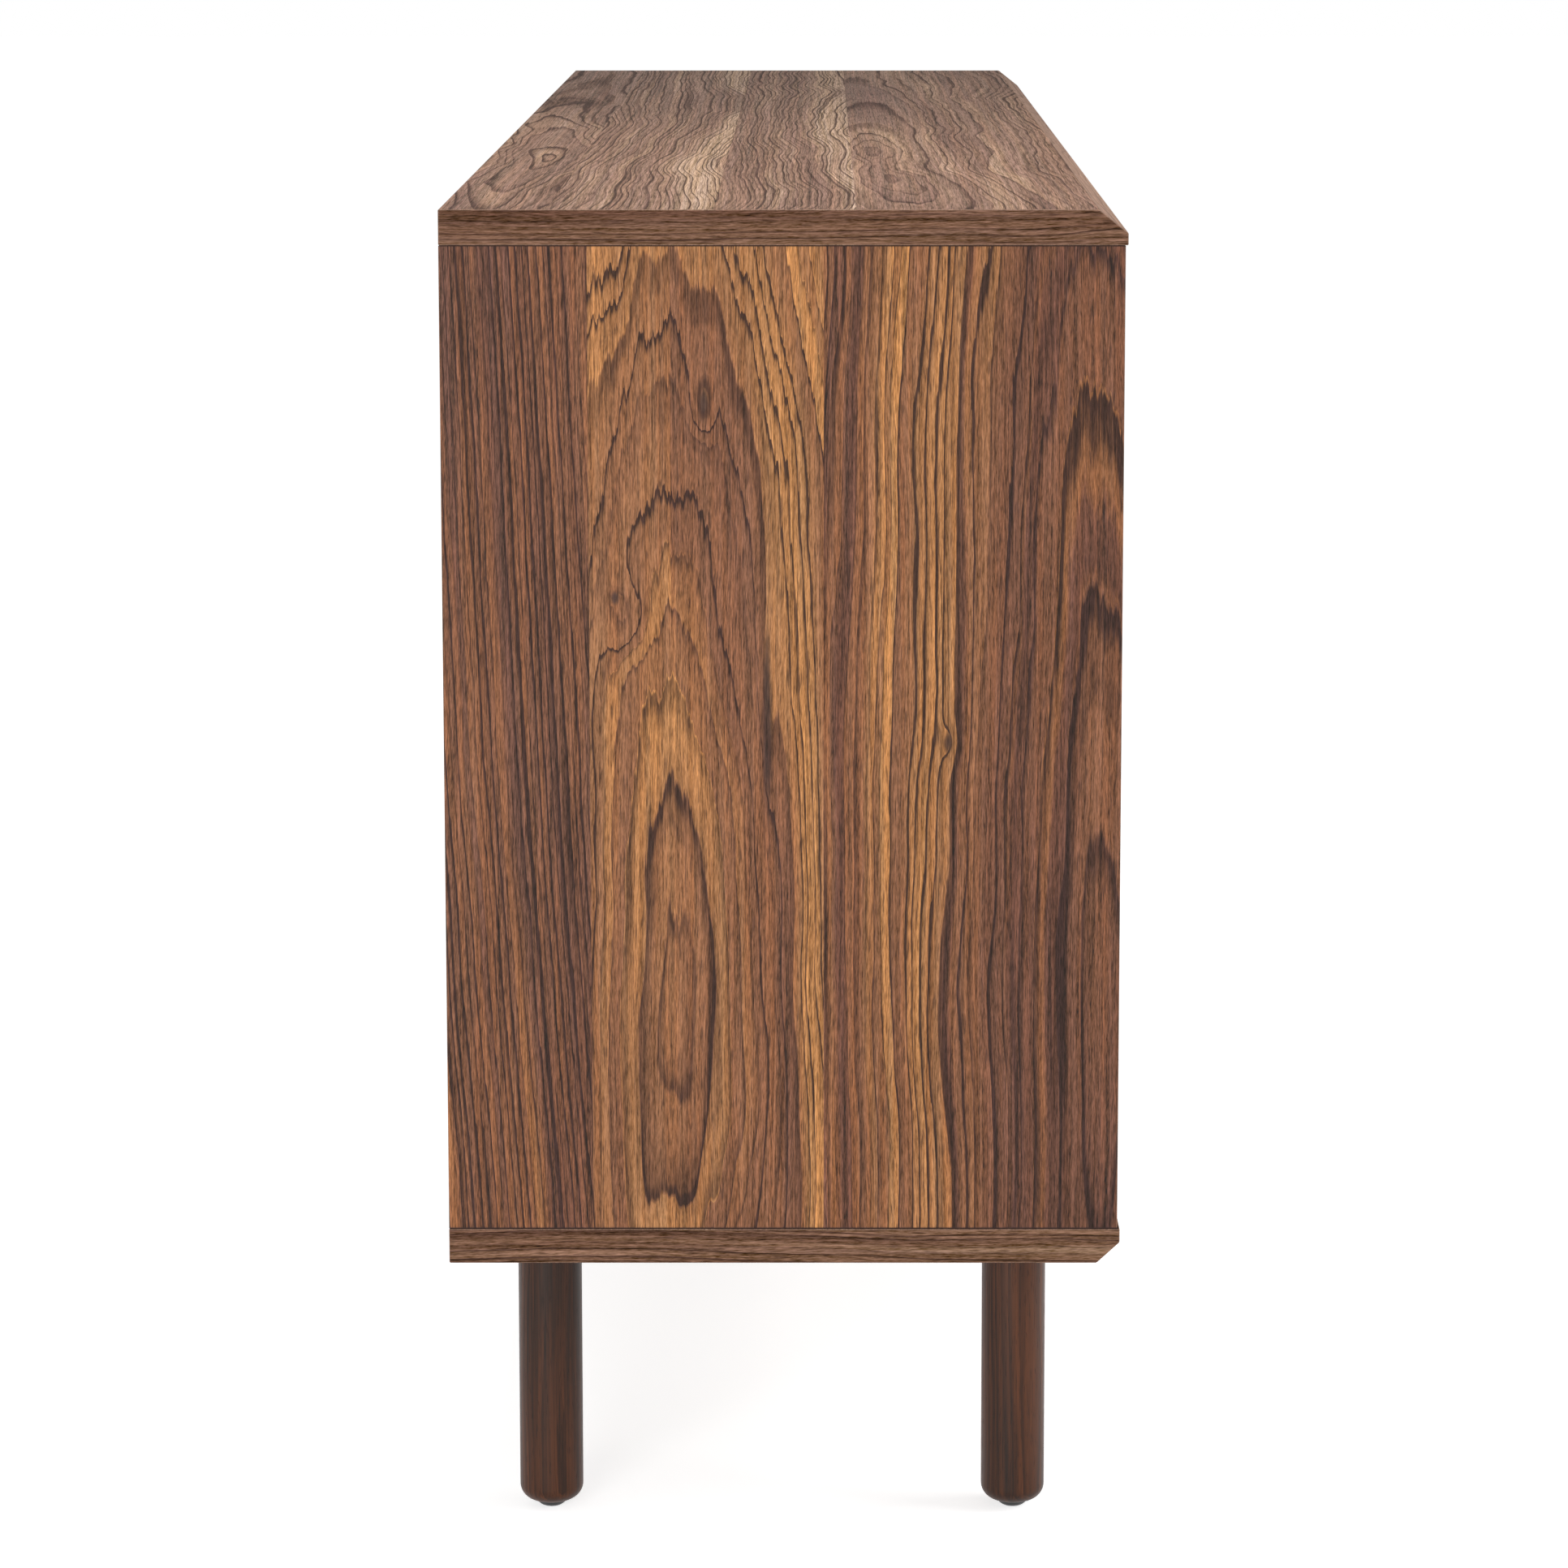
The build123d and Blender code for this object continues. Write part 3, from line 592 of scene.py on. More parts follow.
class VeneerShader:
    """The shader of a veneer: the point of the board, its leaf, its growth rings and its fibres."""

    def __init__(self, veneer: Veneer) -> None:
        """Works out the rings and the fibres at a point of the board.

        Args:
            veneer: The veneer.
        """
        figure = veneer.figure
        marks = veneer.marks
        self.veneer = veneer
        self.graph = Graph.for_material(veneer.name)
        self.along, self.across, self.depth, self.narrow = self.locate()
        self.wide = 1.0 - self.narrow
        self.here = self.across - veneer.first_edge
        self.share = self.here * self.wide / veneer.width
        self.leaf = self.leaf_sizes()
        self.stretch = veneer.fibre_length + self.narrow * (1.0 - veneer.fibre_length)
        self.reach, self.cores = self.cut()
        spacing = self.leaf["ring"] * self.wide + self.narrow * veneer.edge_ring
        rings = self.reach / spacing + self.reach * self.reach * self.leaf["crowd"] * self.wide
        self.uneven = rings + figure.uneven.draw(rings, veneer.seed) * marks.uneven
        self.count = self.graph.math("FLOOR", self.uneven)
        self.sharp = self.graph.smooth(spacing, *marks.sharp)
        self.hue = figure.hue.draw(self.count, veneer.seed)
        self.zone = figure.zone.draw(rings, self.along, veneer.seed)
        self.golden = self.goldness()
        slant = (self.along + self.across * marks.slant) / self.stretch
        bent = self.across + figure.bend.draw(self.along, self.across, veneer.seed) * marks.bend
        self.fibre = figure.fibre.draw(slant, bent, veneer.seed)
        self.short = figure.short.draw(slant, bent, veneer.seed)
        self.pores = self.graph.smooth(figure.flecks.draw(slant, bent, veneer.seed), *marks.pore_span)
        self.tinge = figure.tinge.draw(slant, bent, veneer.seed)
        self.dark = self.darkness()

    def locate(self) -> tuple[Value, Value, Value, Value]:
        """Finds the way along and across the grain on each face.

        Returns:
            The distance along, the distance across, the depth, and a mask of the narrow edges.
        """
        parts = self.graph.place()
        faces = self.graph.facing()
        on_x = faces[Axis.X.value] > FACE_LIMIT
        on_z = faces[Axis.Z.value] > FACE_LIMIT
        shares = (on_x, 1.0 - on_x - on_z, on_z)
        terms = []
        for normal, runs, share in zip(Axis, self.veneer.lay.runs, shares):
            other = next(axis for axis in Axis if axis not in (normal, runs))
            terms.append([parts[axis.value] * share for axis in (runs, other, normal)])
        sums = [sum(rest, first) for first, *rest in zip(*terms)]
        return *sums, 1.0 - shares[self.veneer.lay.wide.value]

    def leaf_sizes(self) -> dict[str, Value]:
        """Looks up the leaf that the point lies in.

        Returns:
            The leaf's sizes, by name.
        """
        leaves = self.veneer.leaves
        starts = [leaf.start / self.veneer.width for leaf in leaves]
        sizes = {}
        for names in LEAF_SIZES:
            rows = [[getattr(leaf, name) for leaf in leaves] for name in names]
            sizes.update(zip(names, self.graph.steps(self.share, starts, *rows)))
        return sizes

    def cut(self) -> tuple[Value, Value]:
        """Cuts the leaf from its log, with the grain flowing around the eyes.

        Returns:
            The distance from the heart of the log, and the dark cores of knots.
        """
        figure = self.veneer.figure
        marks = self.veneer.marks
        leaf = self.leaf
        seed = leaf["start"] * marks.leaf_seed + self.veneer.seed + self.depth * marks.depth_seed
        broad = figure.broad.draw(self.along, self.across, seed)
        swing = figure.swing.draw(self.along, self.across, seed)
        grain = self.along / self.stretch
        teeth = figure.teeth.draw(grain, self.across, seed)
        fine = figure.fine.draw(grain, self.across, seed)
        run = self.along - leaf["peak"] + teeth * self.veneer.teeth + fine * marks.fine_run
        drift = (leaf["wander"] * broad + leaf["wave"] * swing) * (1.0 - self.narrow * marks.edge_drift)
        heart = (leaf["heart"] + leaf["lean"] * run) * self.wide
        aside = self.here - heart + drift + teeth * leaf["ring"] * marks.teeth_rings
        rise = leaf["tilt"] * run * self.wide / (1.0 + abs(run) * self.veneer.ease)
        reach = self.graph.math("SQRT", aside * aside + leaf["depth"] * leaf["depth"] + rise * rise)
        reach = reach + fine * (marks.fray + leaf["ring"] * marks.fray_rings)
        cores = self.narrow * 0.0
        for eye in self.veneer.eyes:
            far_along = (self.along - eye.along) / eye.long
            far_across = (self.here - eye.across + teeth * marks.eye_teeth) / eye.wide
            spread = far_along * far_along + far_across * far_across
            reach = reach + self.graph.math("EXPONENT", spread * -1.0) * self.wide * eye.swell
            if eye.core > 0.0:
                core = self.graph.smooth(fine * marks.core_fray - spread, -eye.core, 0.0)
                cores = self.graph.most(cores, core * self.wide)
        return reach, cores

    def goldness(self) -> Value:
        """Says how golden the wood is between its lines.

        Returns:
            Below nought in dark heartwood, and one in the palest wood.
        """
        veneer = self.veneer
        marks = veneer.marks
        tone = self.leaf["tone"]
        for band in veneer.bands:
            inside = (self.share > band.start / veneer.width) * (self.share < band.end / veneer.width)
            shown = self.graph.smooth(self.reach, band.low - band.soft, band.low + band.soft)
            shown = shown - self.graph.smooth(self.reach, band.high - band.soft, band.high + band.soft)
            tone = tone + shown * inside * self.wide * band.gain
        tone = tone * self.wide + self.narrow * veneer.edge_tone
        cloud = veneer.figure.cloud.draw(self.along, self.across, veneer.seed)
        golden = tone + self.hue * (marks.hue + self.sharp * marks.hue_sharp) + self.zone * marks.zone
        return golden + cloud * (1.0 - self.sharp * marks.cloud_sharp)

    def darkness(self) -> Value:
        """Draws the dark lines, smudges, streaks and hairs of the rings.

        Returns:
            How dark the point is, from 0 to 1.
        """
        graph = self.graph
        figure = self.veneer.figure
        marks = self.veneer.marks
        seed = self.veneer.seed
        saw = graph.math("FRACT", self.uneven)
        bold = graph.smooth(figure.bold.draw(self.count, seed), *marks.bold)
        patch = graph.smooth(figure.patch.draw(self.along, self.across, seed), *marks.patch_span)
        streaks = graph.smooth(figure.streaks.draw(self.uneven, self.along, seed), *marks.streak_span)
        hairs = graph.smooth(figure.hairs.draw(self.uneven, self.along, seed), *marks.hair_span)
        line = graph.smooth(saw, marks.line_start + self.sharp * marks.line_sharper, marks.line_full)
        line = line * (1.0 - graph.smooth(saw, *marks.line_end))
        smudge = graph.smooth(saw, *marks.smudge_start) * (1.0 - graph.smooth(saw, *marks.smudge_end))
        dark = line * (marks.line_least + marks.line_bold * bold) + smudge * marks.smudge * bold
        dark = dark + streaks * marks.streak + hairs * marks.hair
        contrast = self.leaf["contrast"] * self.wide + self.narrow * self.veneer.edge_contrast
        shown = marks.patch_least + marks.patch * patch + self.sharp * marks.patch_sharp
        dark = dark * contrast * shown * (1.0 - self.fibre * marks.fibre_break)
        heartwood = graph.smooth(self.golden + self.fibre * marks.heart_fibre, *marks.heart_span)
        return graph.math("MINIMUM", graph.most(dark, heartwood * marks.heart), marks.darkest)

    def colour(self) -> Value:
        """Colours the wood, its lines and pores, paints a highlight on its bevels and shade along its
        joints.

        Returns:
            The colour.
        """
        graph = self.graph
        colours = self.veneer.palette
        marks = self.veneer.marks
        base = graph.mix(graph.smooth(self.golden, *marks.warm_span), colours.deep, colours.warm)
        base = graph.mix(graph.smooth(self.golden, *marks.pale_span), base, colours.pale)
        tinge = self.tinge + self.hue * marks.tinge_hue + self.zone * marks.tinge_zone
        tinge = graph.smooth(tinge + self.narrow * marks.tinge_edge, *marks.tinge_span)
        base = graph.mix(1.0, base, graph.mix(tinge, colours.cool, colours.rusty), "MULTIPLY")
        base = graph.mix(graph.most(self.dark, self.cores * marks.core), base, colours.line)
        base = graph.mix(self.pores * marks.pore, base, colours.pore)
        lively = marks.lively - graph.smooth(self.golden, *marks.calm_span) * marks.calm
        light = (self.fibre * marks.fibre_light + self.short * marks.short_light) * lively - marks.shade
        shades = {0: 1.0 + light, 1: 1.0 + light * marks.green_light, 2: 1.0 + light * marks.blue_light}
        base = graph.mix(1.0, base, graph.node("ShaderNodeCombineColor", None, shades), "MULTIPLY")
        # Painted highlight: faces that look along no axis, the bevels and chamfers, turn paler as if they
        # caught the light.
        bevel = graph.most(*graph.facing()) < marks.bevel
        base = graph.mix(bevel * self.veneer.bevel_highlight_share, base, colours.bevel_highlight)
        # Painted shade: a dark line just above the lower joint and just below the upper joint, where the
        # boards meet.
        if self.veneer.joints is None:
            return base
        low, high = self.veneer.joints
        height = graph.place()[Axis.Z.value]
        seam = 1.0 - graph.smooth(height, *[low + edge for edge in marks.low_joint_shade])
        seam = seam + graph.smooth(height, *[high + edge for edge in marks.high_joint_shade])
        return graph.mix(seam * marks.seam, base, colours.line)

    def build(self) -> bpy.types.Material:
        """Ends the shader with its colour, its sheen and its relief.

        Returns:
            The finished material.
        """
        marks = self.veneer.marks
        rough = self.veneer.roughness + self.fibre * marks.fibre_rough + self.pores * marks.pore_rough
        rough = rough + self.dark * marks.line_rough
        height = self.fibre * marks.fibre_relief - self.pores * marks.pore_relief
        normal = self.graph.bump(height - self.dark * marks.line_relief, *marks.relief)
        return self.graph.surface(self.colour(), rough, normal, {"Specular IOR Level": self.veneer.gloss})


@dataclass(frozen=True)
class StainedWood:
    """Solid dark-stained wood with its grain along one axis."""

    name: str
    runs: Axis
    light: Colour = srgb(98, 56, 33)
    dark: Colour = srgb(34, 22, 16)
    line: Colour = srgb(25, 16, 12)
    roughness: float = 0.42
    gloss: float = 0.22
    ring: float = 0.0042
    ring_way: Span = (0.83, 0.56)
    sway: Grain = Grain(14.0, 3.0)
    sway_move: float = 0.02
    jag: Grain = Grain(380.0, 22.0)
    jag_move: float = 0.0012
    uneven: Chance = Chance(0.5, 2.0, 0.0, 2.0)
    uneven_rings: float = 1.5
    late_start: Span = (0.2, 0.9)
    late_end: Span = (0.93, 1.0)
    late_share: float = 0.55
    zone_rings: float = 0.16
    zone_along: float = 3.0
    zone_seed: float = 5.0
    zone_fibre: float = 0.5
    zone_span: Span = (-0.3, 0.3)
    fibre: Grain = Grain(800.0, 18.0)
    fibre_rough: float = 0.15
    fibre_relief: float = 0.5
    flecks: Grain = Grain(1300.0, 110.0, 1.0)
    pore_span: Span = (0.08, 0.2)
    pore_share: float = 0.45
    pore_rough: float = 0.1
    pore_relief: float = 0.8
    relief: Span = (0.0001, 0.5)

    def build(self) -> bpy.types.Material:
        """Builds the solid wood's material.

        Returns:
            The finished material.
        """
        graph = Graph.for_material(self.name)
        along, first, second = graph.place_along(self.runs)
        sway = self.sway.draw(first, second, along) * self.sway_move
        jag = self.jag.draw(first, second, along) * self.jag_move
        rings = (first * self.ring_way[0] + second * self.ring_way[1] + sway + jag) / self.ring
        saw = graph.math("FRACT", rings + self.uneven.draw(rings) * self.uneven_rings)
        late = graph.smooth(saw, *self.late_start) * (1.0 - graph.smooth(saw, *self.late_end))
        zone = graph.noise(rings * self.zone_rings, self.zone_seed, along * self.zone_along)
        fibre = self.fibre.draw(first, second, along)
        pores = graph.smooth(self.flecks.draw(first, second, along), *self.pore_span)
        lit = graph.smooth(zone + fibre * self.zone_fibre, *self.zone_span)
        base = graph.mix(lit, self.dark, self.light)
        base = graph.mix(late * self.late_share, base, self.line)
        base = graph.mix(pores * self.pore_share, base, self.line)
        rough = self.roughness + fibre * self.fibre_rough + pores * self.pore_rough
        height = fibre * self.fibre_relief - pores * self.pore_relief
        normal = graph.bump(height, *self.relief)
        return graph.surface(base, rough, normal, {"Specular IOR Level": self.gloss})


@dataclass(frozen=True)
class PlatedSteel:
    """Bright plated metal with fine scratches and a cloudy sheen."""

    name: str
    colour: Colour
    roughness: float
    cloud: Grain = Grain(60.0, 60.0, 3.0)
    cloud_span: Span = (-0.25, 0.25)
    cloud_share: float = 0.35
    cloud_shade: float = 0.62
    cloud_rough: float = 0.2
    scratch_across: float = 900.0
    scratch_along: float = 25.0
    scratch_rough: float = 0.15
    relief: Span = (0.00003, 0.5)

    def build(self) -> bpy.types.Material:
        """Builds the metal's material.

        Returns:
            The finished material.
        """
        graph = Graph.for_material(self.name)
        x, y, z = graph.place()
        cloud = self.cloud.draw(x, y, z)
        scratch = graph.noise(x * self.scratch_across, y * self.scratch_along, z * self.scratch_across)
        clouded = graph.smooth(cloud, *self.cloud_span) * self.cloud_share
        base = graph.mix(clouded, self.colour, scaled(self.colour, self.cloud_shade))
        rough = self.roughness + cloud * self.cloud_rough + scratch * self.scratch_rough
        normal = graph.bump(scratch, *self.relief)
        return graph.surface(base, rough, normal, {"Metallic": 1.0})


@dataclass(frozen=True)
class MouldedPlastic:
    """Matt moulded plastic with a fine stipple."""

    name: str
    colour: Colour
    roughness: float
    stipple: Grain = Grain(1800.0, 1800.0, 1.0)
    cloud: Grain = Grain(90.0, 90.0)
    cloud_span: Span = (-0.3, 0.3)
    cloud_share: float = 0.3
    cloud_shade: float = 0.7
    cloud_rough: float = 0.15
    relief: Span = (0.00004, 0.5)

    def build(self) -> bpy.types.Material:
        """Builds the plastic's material.

        Returns:
            The finished material.
        """
        graph = Graph.for_material(self.name)
        parts = graph.place()
        cloud = self.cloud.draw(*parts)
        clouded = graph.smooth(cloud, *self.cloud_span) * self.cloud_share
        base = graph.mix(clouded, self.colour, scaled(self.colour, self.cloud_shade))
        normal = graph.bump(self.stipple.draw(*parts), *self.relief)
        return graph.surface(base, self.roughness + cloud * self.cloud_rough, normal)


@dataclass(frozen=True)
class PressedBoard:
    """Thin pressed board or foiled board: a plain brown with fine fibres."""

    name: str
    colour: Colour
    runs: Axis
    roughness: float = 0.62
    streak_along: float = 26.0
    streak_slant: float = 97.0
    streak_across: float = 460.0
    streak_skews: Span = (11.0, 7.0)
    streak_detail: float = 3.0
    streak_span: Span = (-0.3, 0.3)
    streak_shades: Span = (0.66, 1.25)
    streak_rough: float = 0.15
    cloud: Grain = Grain(5.0, 5.0)
    cloud_share: float = 0.2
    speck: Grain = Grain(1400.0, 1400.0, 1.0)
    speck_span: Span = (0.1, 0.24)
    speck_share: float = 0.4
    speck_shade: float = 0.35
    speck_relief: float = 0.4
    relief: Span = (0.00006, 0.5)

    def build(self) -> bpy.types.Material:
        """Builds the board's material.

        Returns:
            The finished material.
        """
        graph = Graph.for_material(self.name)
        parts = graph.place()
        along, first, second = graph.place_along(self.runs)
        streak = graph.noise(
            along * self.streak_along + (first + second) * self.streak_slant,
            first * self.streak_across + along * self.streak_skews[0],
            second * self.streak_across + along * self.streak_skews[1],
            self.streak_detail,
        )
        speck = self.speck.draw(*parts)
        lit = graph.smooth(streak + self.cloud.draw(*parts) * self.cloud_share, *self.streak_span)
        base = graph.mix(lit, *[scaled(self.colour, shade) for shade in self.streak_shades])
        specked = graph.smooth(speck, *self.speck_span) * self.speck_share
        base = graph.mix(specked, base, scaled(self.colour, self.speck_shade))
        normal = graph.bump(streak + speck * self.speck_relief, *self.relief)
        return graph.surface(base, self.roughness + streak * self.streak_rough, normal)


@dataclass
class Finishes:
    """Every finish of the sideboard, and the nodes that take it."""

    depth_low: float
    height_low: float
    height_high: float
    board_width: float = 0.394
    made: dict[str, bpy.types.Material] = field(default_factory=dict)

    def end_veneer(self) -> Veneer:
        """Lays out the upright veneer of the ends and the dividers, measured from the front edge.

        Returns:
            The veneer.
        """
        leaves = (
            Leaf(start=0.0, heart=0.016, peak=0.297, depth=0.002, tilt=0.10, ring=0.016, crowd=480.0,
                 tone=0.30, contrast=1.35, wander=0.03, wave=0.012),
            Leaf(start=0.173, heart=0.262, peak=0.325, depth=0.002, tilt=0.17, ring=0.013, crowd=650.0,
                 tone=0.70, contrast=0.95, wander=0.03, wave=0.020),
            Leaf(start=0.308, heart=0.52, peak=0.300, depth=0.03, tilt=0.03, lean=0.06, ring=0.0038,
                 tone=0.14, contrast=2.3, wander=0.03, wave=0.006),
        )
        eyes = (
            Eye(0.675, 0.243, 0.018, 0.007, 0.012, 0.5),
            Eye(0.551, 0.287, 0.022, 0.011, 0.016),
            Eye(0.563, 0.294, 0.007, 0.004, 0.004, 0.6),
            Eye(0.478, 0.102, 0.011, 0.005, 0.007, 0.6),
            Eye(0.490, 0.207, 0.085, 0.005, 0.008, 0.7),
        )
        bands = (
            Band(0.0, 0.173, 0.070, 0.136, 0.44),
            Band(0.0, 0.173, 0.028, 0.031, -1.1, soft=0.0025),
            Band(0.0, 0.173, 0.049, 0.052, -1.2, soft=0.0025),
            Band(0.0, 0.173, 0.084, 0.085, -1.3, soft=0.0025),
            Band(0.0, 0.173, 0.146, 0.149, -1.1, soft=0.0025),
            Band(0.173, 0.262, 0.040, 0.074, -0.25),
            Band(0.173, 0.262, 0.079, 0.100, 0.15),
        )
        return Veneer(
            "walnut_end_veneer", Lay.UPRIGHT, self.depth_low, self.board_width, leaves, eyes, bands,
            seed=4.0, teeth=0.08, joints=(self.height_low, self.height_high),
        )

    def top_veneer(self) -> Veneer:
        """Lays out the veneer along the top, the bottom and the shelves, measured from the front edge.

        Returns:
            The veneer.
        """
        leaves = (
            Leaf(start=0.0, heart=0.14, peak=-0.43, depth=0.002, tilt=0.16, ring=0.0066, crowd=150.0,
                 tone=0.38, contrast=1.4, wander=0.08, wave=0.035),
            Leaf(start=0.155, heart=0.30, peak=-0.30, depth=0.02, tilt=0.05, ring=0.0036,
                 tone=0.38, contrast=1.6, wander=0.08, wave=0.034),
            Leaf(start=0.236, heart=0.42, peak=0.20, depth=0.03, tilt=0.04, ring=0.0036,
                 tone=0.42, contrast=1.6, wander=0.07, wave=0.024),
            Leaf(start=0.332, heart=0.37, peak=-0.35, depth=0.002, tilt=0.12, ring=0.0070, crowd=150.0,
                 tone=0.40, contrast=2.0, wander=0.10, wave=0.050),
        )
        eyes = (Eye(-0.43, 0.14, 0.10, 0.030, 0.020),)
        bands = (
            Band(0.155, 0.236, 0.130, 0.160, 0.45),
            Band(0.236, 0.332, 0.165, 0.200, 0.45),
        )
        # This palette is greyer than the ends', partly as a painted sheen of the top face.
        palette = Palette(
            pale=srgb(164, 135, 110), warm=srgb(126, 95, 76), deep=srgb(98, 68, 53),
            line=srgb(60, 40, 32), pore=srgb(62, 42, 33), bevel_highlight=srgb(146, 119, 103),
            cool=(0.97, 1.0, 1.06), rusty=(1.03, 1.0, 0.94),
        )
        figure = Figure(swing=Pattern(5.0, 10.0, 7.0, 1.5))
        return Veneer(
            "walnut_top_veneer", Lay.LENGTHWISE, self.depth_low, self.board_width, leaves, eyes, bands,
            palette, figure, roughness=0.72, gloss=0.09, seed=11.0, teeth=0.10, fibre_length=3.5,
            ease=2.2, bevel_highlight_share=0.5,
        )

    def front_veneer(self) -> Veneer:
        """Lays out the veneer across the doors and the drawer fronts, measured from their lower edge.

        Returns:
            The veneer.
        """
        leaves = (
            Leaf(start=0.0, heart=0.07, peak=-0.35, depth=0.002, tilt=0.07, ring=0.0140, crowd=260.0,
                 tone=0.34, contrast=0.95, wander=0.04, wave=0.012),
            Leaf(start=0.16, heart=0.36, peak=0.20, depth=0.03, tilt=0.03, lean=0.01, ring=0.0075,
                 tone=0.50, contrast=0.9, wander=0.04, wave=0.008),
            Leaf(start=0.29, heart=0.37, peak=0.45, depth=0.002, tilt=0.07, ring=0.0130, crowd=280.0,
                 tone=0.60, contrast=0.9, wander=0.04, wave=0.012),
            Leaf(start=0.45, heart=0.66, peak=0.00, depth=0.03, tilt=0.03, lean=-0.01, ring=0.0064,
                 tone=0.24, contrast=0.9, wander=0.03, wave=0.006),
        )
        eyes = (
            Eye(-0.62, 0.235, 0.040, 0.010, 0.012),
            Eye(0.36, 0.105, 0.045, 0.011, 0.014),
            Eye(0.58, 0.41, 0.030, 0.008, 0.010, 0.4),
        )
        tall = self.height_high - self.height_low
        return Veneer("walnut_front_veneer", Lay.FRONT, self.height_low, tall, leaves, eyes, seed=23.0)

    def build(self) -> None:
        """Builds the materials by the names of the record's slots and the veneered boards."""
        finishes = {
            "end": self.end_veneer(),
            "top": self.top_veneer(),
            "front": self.front_veneer(),
            "turned_upright": StainedWood("walnut_stained_upright", Axis.Z),
            "turned_level": StainedWood("walnut_stained_level", Axis.Y),
            "hardboard": PressedBoard("brown_hardboard", srgb(104, 74, 56), Axis.X),
            "drawer_board": PressedBoard("brown_foiled_board", srgb(122, 86, 64), Axis.Y, roughness=0.5),
            "beech": PressedBoard("beech_dowel_wood", srgb(206, 172, 134), Axis.Z),
            "zinc_plated_steel": PlatedSteel("zinc_plated_steel", (0.62, 0.63, 0.64), roughness=0.32),
            "zinc_casting": PlatedSteel("zinc_casting", (0.5, 0.51, 0.53), roughness=0.45),
            "black_plastic": MouldedPlastic("black_moulded_plastic", (0.016, 0.016, 0.017), roughness=0.5),
            "white_nylon": MouldedPlastic("white_moulded_nylon", (0.76, 0.75, 0.71), roughness=0.42),
        }
        for key, finish in finishes.items():
            self.made[key] = finish.build()
            LOG.info("finish %s", finish.name)

    def key_for(self, node: str, slot: str) -> str:
        """The finish of one node.

        Args:
            node: The node's name.
            slot: Its material slot in the record.

        Returns:
            The finish's key.
        """
        if slot == "walnut_turned":
            return "turned_upright" if node.endswith("_leg") else "turned_level"
        if slot != "walnut_panel":
            return slot
        if node in ("top_panel", "bottom_panel") or node.endswith("_shelf"):
            return "top"
        return "front" if node.endswith(("_door", "_front")) else "end"

    def dress(self) -> None:
        """Gives every node of the cabinet its finish."""
        slots = {part["node"]: part["material_slot"] for part in frame["record"]["subparts"]}
        for node, piece in frame["nodes"].items():
            key = self.key_for(node, slots[node])
            for slot in piece.material_slots:
                slot.material = self.made[key]
            LOG.info("node %s takes %s", node, self.made[key].name)


